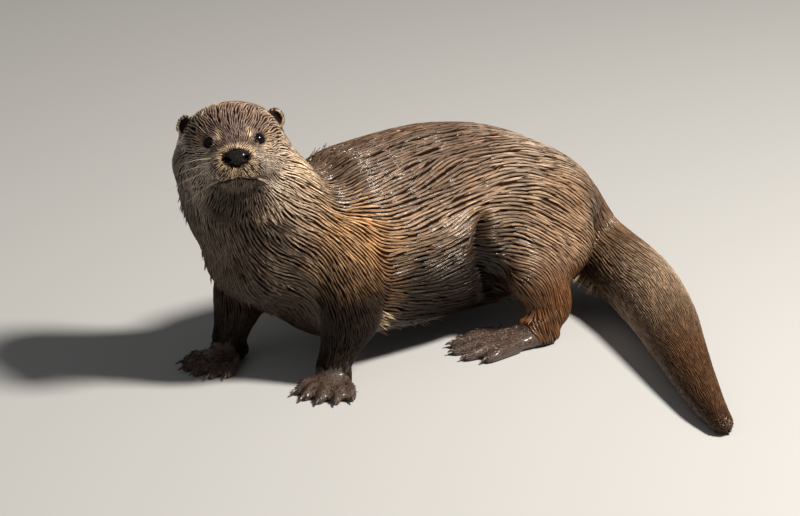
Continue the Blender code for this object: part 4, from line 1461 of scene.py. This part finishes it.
WHISKER_SIDES = 5
WHISKER_RINGS = 12


def tube_faces(rings, sides):
    """Triangles of a tube whose last ring is a single point."""
    a = np.arange((rings - 1) * sides)
    b = a - a % sides + (a + 1) % sides
    low = a < (rings - 2) * sides
    tip = np.full(sides, (rings - 1) * sides)
    return np.concatenate([np.stack([a, b, b + sides], 1)[low], np.stack([a, b + sides, a + sides], 1)[low],
                           np.stack([a[~low], b[~low], tip], 1)])


def whiskers(rng):
    """Tapering hairs of horn on the pads, brows and cheeks."""
    rows = []
    for sign in (1, -1):
        for k in range(11):
            level, row = k % 4, k // 4
            root = (54.0 - 2.6 * row - 0.8 * level, (12.5 + 2.4 * row) * sign, -5.5 - 2.5 * level)
            droop = 0.10 - 0.14 * level + rng.normal(0, 0.05)
            rows.append((root, (0.16 - 0.12 * row, 0.90 * sign, droop), rng.uniform(26, 41), 0.22, 0.26))
        rows += [((33, 25 * sign, 21), (0.35, 0.55 * sign, 0.75), 17, 0.16, 0.12),
                 ((35, 22 * sign, 22), (0.45, 0.30 * sign, 0.85), 14, 0.15, 0.12),
                 ((8, 40 * sign, 10), (0.15, 0.90 * sign, 0.35), 21, 0.16, 0.10),
                 ((10, 40 * sign, -6), (0.20, 0.95 * sign, -0.10), 18, 0.15, 0.16)]
    t = np.linspace(0, 1, WHISKER_RINGS)[:, None]
    turn = 2 * np.pi * np.arange(WHISKER_SIDES)[:, None] / WHISKER_SIDES
    down = np.array([0.0, 0.0, -1.0])
    points = []
    faces = []
    for root, way, length, radius, sag in rows:
        start = on_skin([at_head(*root)])[0][0]
        way = unit(way) @ HEAD_AXES
        line = way * (length * t - 1.0) + (down * sag - HEAD_AXES[0] * 0.16) * length * t ** 2
        one = unit(np.cross(way, down))
        spokes = np.cos(turn) * one + np.sin(turn) * np.cross(way, one)
        rings = line[:, None] + (radius * (1 - t) ** 0.7)[:, None] * spokes
        faces.append(tube_faces(WHISKER_RINGS, WHISKER_SIDES) + sum(len(p) for p in points))
        points.append(start + np.concatenate([rings[:-1].reshape(-1, 3), line[-1:]]) * MM)
    paint = material("whisker", 0.4, Base_Color=(0.62, 0.50, 0.36, 1))
    made = new_object("whiskers", np.concatenate(points), np.concatenate(faces), [paint])
    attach(made, "root")


whiskers(np.random.default_rng(44))


# ---------------------------------------------------------------- the skin's paint
def skin_colour(hide):
    """The pelt's colour in shade, with bare feet, lips, nose rim, lids and ears."""
    feet = whole(hide.shares, "foot")
    sleek = hide.shares["tail"] + hide.shares["trunk"] * ramp(0.13, 0.20, hide.points[:, 0])
    legs = whole(hide.shares, "hind") + 0.1 * whole(hide.shares, "fore")
    sleek = sleek + legs * ramp(100, 60, hide.points[:, 2] / MM)
    colour = deepened(pelt(hide.points), 0.05 + 0.27 * np.clip(sleek, 0, 1))
    low_skin = hide.bald & (hide.shares["tail"] < 0.5) & (hide.points[:, 2] < 40 * MM)
    low_skin = hide.weave.soften(low_skin.astype(float), 4)
    colour = blend(colour, BARE_FOOT, np.maximum(low_skin, ramp(0.6, 0.8, feet)))
    f, l, u = hide.local.T
    lips = bell(u - mouth_height(l), 1.3) * ramp(38, 44, f)
    lips = lips * ramp(MOUTH_HALF + 2, MOUTH_HALF - 2, np.abs(l))
    colour = blend(colour, LEATHER * 0.3, lips)
    under_lip = bell(u - mouth_height(l) + 2.1, 0.9) * ramp(44, 50, f) * bell(l, 8, 4)
    colour = blend(colour, np.array([0.200, 0.140, 0.115]), under_lip)
    colour = blend(colour, LEATHER * 0.28, ramp(1.12, 1.02, pad_reach(hide.points)))
    for s in SIDES:
        _, r, angle = seen_by(s, hide.points)
        lids = ramp(1.10, 0.86, angle) * (r < 11 * MM)
        colour = blend(colour, np.array([0.005, 0.0035, 0.003]), lids)
        ear = hide.local - in_head(middle("ear_" + s)) + [0, 1.6 * SIGN[s], 0]
        close = ramp(13, 10.5, far(ear))
        ahead = ramp(-0.1, 0.35, hide.normal @ HEAD_AXES[0])
        reach = np.hypot(ear[:, 1] / EAR_SIZE[0], ear[:, 2] / EAR_SIZE[1])
        colour = blend(colour, CROWN * 0.6, close * (1 - ahead))
        colour = blend(colour, np.array([0.016, 0.010, 0.008]), close * ahead * ramp(0.86, 0.74, reach))
        colour = blend(colour, CREAM * 0.95, close * ahead * ramp(0.76, 0.90, reach))
    return colour


paint_points(skin.data, skin_colour(hide))
skin.data.materials.clear()
skin.data.materials.append(SKIN_PAINT)
skin.data.materials.append(BARE_PAINT)
face_of = np.empty(len(hide.tris), np.int32)
skin.data.calc_loop_triangles()
skin.data.loop_triangles.foreach_get("polygon_index", face_of)
bare = np.zeros(len(skin.data.polygons), np.int32)
bare[face_of] = hide.on_faces(hide.moist) > 0.6
skin.data.polygons.foreach_set("material_index", bare)
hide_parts(*FLESH)
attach(skin, "root")


# ---------------------------------------------------------------- eyes
GLOSSY_HALF = math.radians(26)
for s in SIDES:
    bm = bmesh.new()
    bmesh.ops.create_uvsphere(bm, u_segments=48, v_segments=32, radius=EYE_BALL * MM)
    turn = Matrix(np.column_stack([eye_axes(s)[1], eye_axes(s)[2], GAZE[s]]).tolist()).to_4x4()
    bmesh.ops.transform(bm, matrix=Matrix.Translation(Vector(EYES[s])) @ turn, verts=bm.verts)
    mesh = mesh_of(bm, "eyeball_" + s)
    mesh.shade_smooth()
    mesh.materials.append(EYE_PAINT)
    mesh.materials.append(EYE_EDGE_PAINT)
    for face in mesh.polygons:
        toward_gaze = unit(np.array(face.center) - EYES[s]) @ GAZE[s]
        face.material_index = int(toward_gaze < math.cos(GLOSSY_HALF))
    ball = placed("eyeball_" + s, mesh)
    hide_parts("eye_" + s)
    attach(ball, "root")


# ---------------------------------------------------------------- nose pad
def nose_pad():
    bm = bmesh.new()
    bmesh.ops.create_uvsphere(bm, u_segments=96, v_segments=64, radius=1.0)
    bmesh.ops.rotate(bm, verts=bm.verts, matrix=Matrix.Rotation(math.radians(90), 3, "Y"))
    q = np.array([v.co for v in bm.verts])
    f, l, u = q.T
    f, l, u = f * PAD[0], l * PAD[1], u * PAD[2]
    n = len(f)
    side = np.abs(l)
    u = u * pad_stretch(l, u)
    front = ramp(0.0, 5.0, f)
    slit = np.hypot((side - 7.9 - 0.10 * (u + 1) ** 2) / 2.5, (u + 0.6 - 0.30 * (side - 7)) / 1.9)
    f = f - 5.5 * front * np.exp(-slit ** 4)
    rim = bell(slit - 1.45, 0.30)
    f = f + 0.45 * front * rim
    f = f - 0.9 * front * bell(l, 0.8) * ramp(1.5, -3.0, u)
    f = f + 0.6 * front * bell(l, 4.2) * bell(u - 1.0, 4)
    origin = in_head(NOSE)
    spots = HEAD_ORIGIN + (np.stack([f, l, u], 1) + origin) @ HEAD_AXES * MM
    for v, spot_at in zip(bm.verts, spots):
        v.co = spot_at
    bmesh.ops.recalc_face_normals(bm, faces=bm.faces)
    mesh = mesh_of(bm, "nose_pad")
    mesh.shade_smooth()
    # painted shade: the insides of the nostrils nearly black
    dark = bell(slit, 1.12, 6) * front
    colour = np.tile(LEATHER * 0.2, (n, 1))
    colour = blend(colour, np.array([0.060, 0.036, 0.034]), 0.6 * front * rim * ramp(0, -3, u))
    colour = blend(colour, np.array([0.004, 0.003, 0.003]), dark)
    paint_points(mesh, colour)
    mesh.materials.append(NOSE_PAINT)
    pad = placed("nose_pad", mesh)
    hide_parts("nose")
    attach(pad, "root")


nose_pad()


# ---------------------------------------------------------------- claws
for kind in ("fore", "hind"):
    for s in SIDES:
        for k in range(1, 6):
            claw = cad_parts["claw_%s_%s_%d" % (kind, s, k)]
            claw.data.materials.clear()
            claw.data.materials.append(CLAW_PAINT)
            weld = claw.modifiers.new("weld", "WELD")
            weld.merge_threshold = 1e-6
            round_off = claw.modifiers.new("round", "SUBSURF")
            round_off.levels = 2
            round_off.render_levels = 2
            claw.data.shade_smooth()


# ---------------------------------------------------------------- floor, light and camera
low, high = CAD_BOX
mesh = bpy.data.meshes.new("floor")
mesh.from_pydata([(-9, -9, 0), (9, -9, 0), (9, 9, 0), (-9, 9, 0)], [], [(0, 1, 2, 3)])
mesh.materials.append(material("floor", 0.8, Base_Color=(0.42, 0.415, 0.405, 1)))
ground = placed("floor", mesh)

world = bpy.data.worlds.new("studio")
world.use_nodes = True
world.node_tree.nodes["Background"].inputs["Color"].default_value = (0.88, 0.88, 0.88, 1)
world.node_tree.nodes["Background"].inputs["Strength"].default_value = 0.13
bpy.context.scene.world = world
bpy.context.scene.view_settings.view_transform = "Standard"
bpy.context.scene.view_settings.look = "None"

AIM = Vector((low + high) / 2) + Vector((-0.0099, 0.1252, -0.0486))
PHOTO_AZIMUTH = -40
PHOTO_ELEVATION = 19
PHOTO_DISTANCE = 3.5
LENS = 171.7


def aimed(name, data, azimuth, elevation, distance):
    """A lamp or camera round the animal that looks at AIM; azimuth 0 is the front of the row's frame."""
    made = placed(name, data)
    a, e = math.radians(azimuth), math.radians(elevation)
    back = Vector((math.sin(a) * math.cos(e), -math.cos(a) * math.cos(e), math.sin(e)))
    made.location = AIM + back * distance
    made.rotation_mode = "QUATERNION"
    made.rotation_quaternion = (-back).to_track_quat("-Z", "Y")
    return made


def area_light(name, size, power, colour, azimuth, elevation, distance):
    light = bpy.data.lights.new(name, "AREA")
    light.shape = "DISK"
    light.size = size
    light.energy = power
    light.color = colour
    return aimed(name, light, azimuth, elevation, distance)


area_light("key", size=0.50, power=140, colour=(1.0, 0.95, 0.88), azimuth=30, elevation=52, distance=2.6)
fill = area_light("fill", size=4.5, power=20, colour=(0.94, 0.96, 1.0), azimuth=-75, elevation=25, distance=4)
fill.visible_glossy = False

camera = aimed("camera", bpy.data.cameras.new("camera"), PHOTO_AZIMUTH, PHOTO_ELEVATION, PHOTO_DISTANCE)
camera.data.lens = LENS
camera.data.sensor_width = 36
camera.data.clip_start = 0.1
camera.data.clip_end = 60
bpy.context.scene.camera = camera
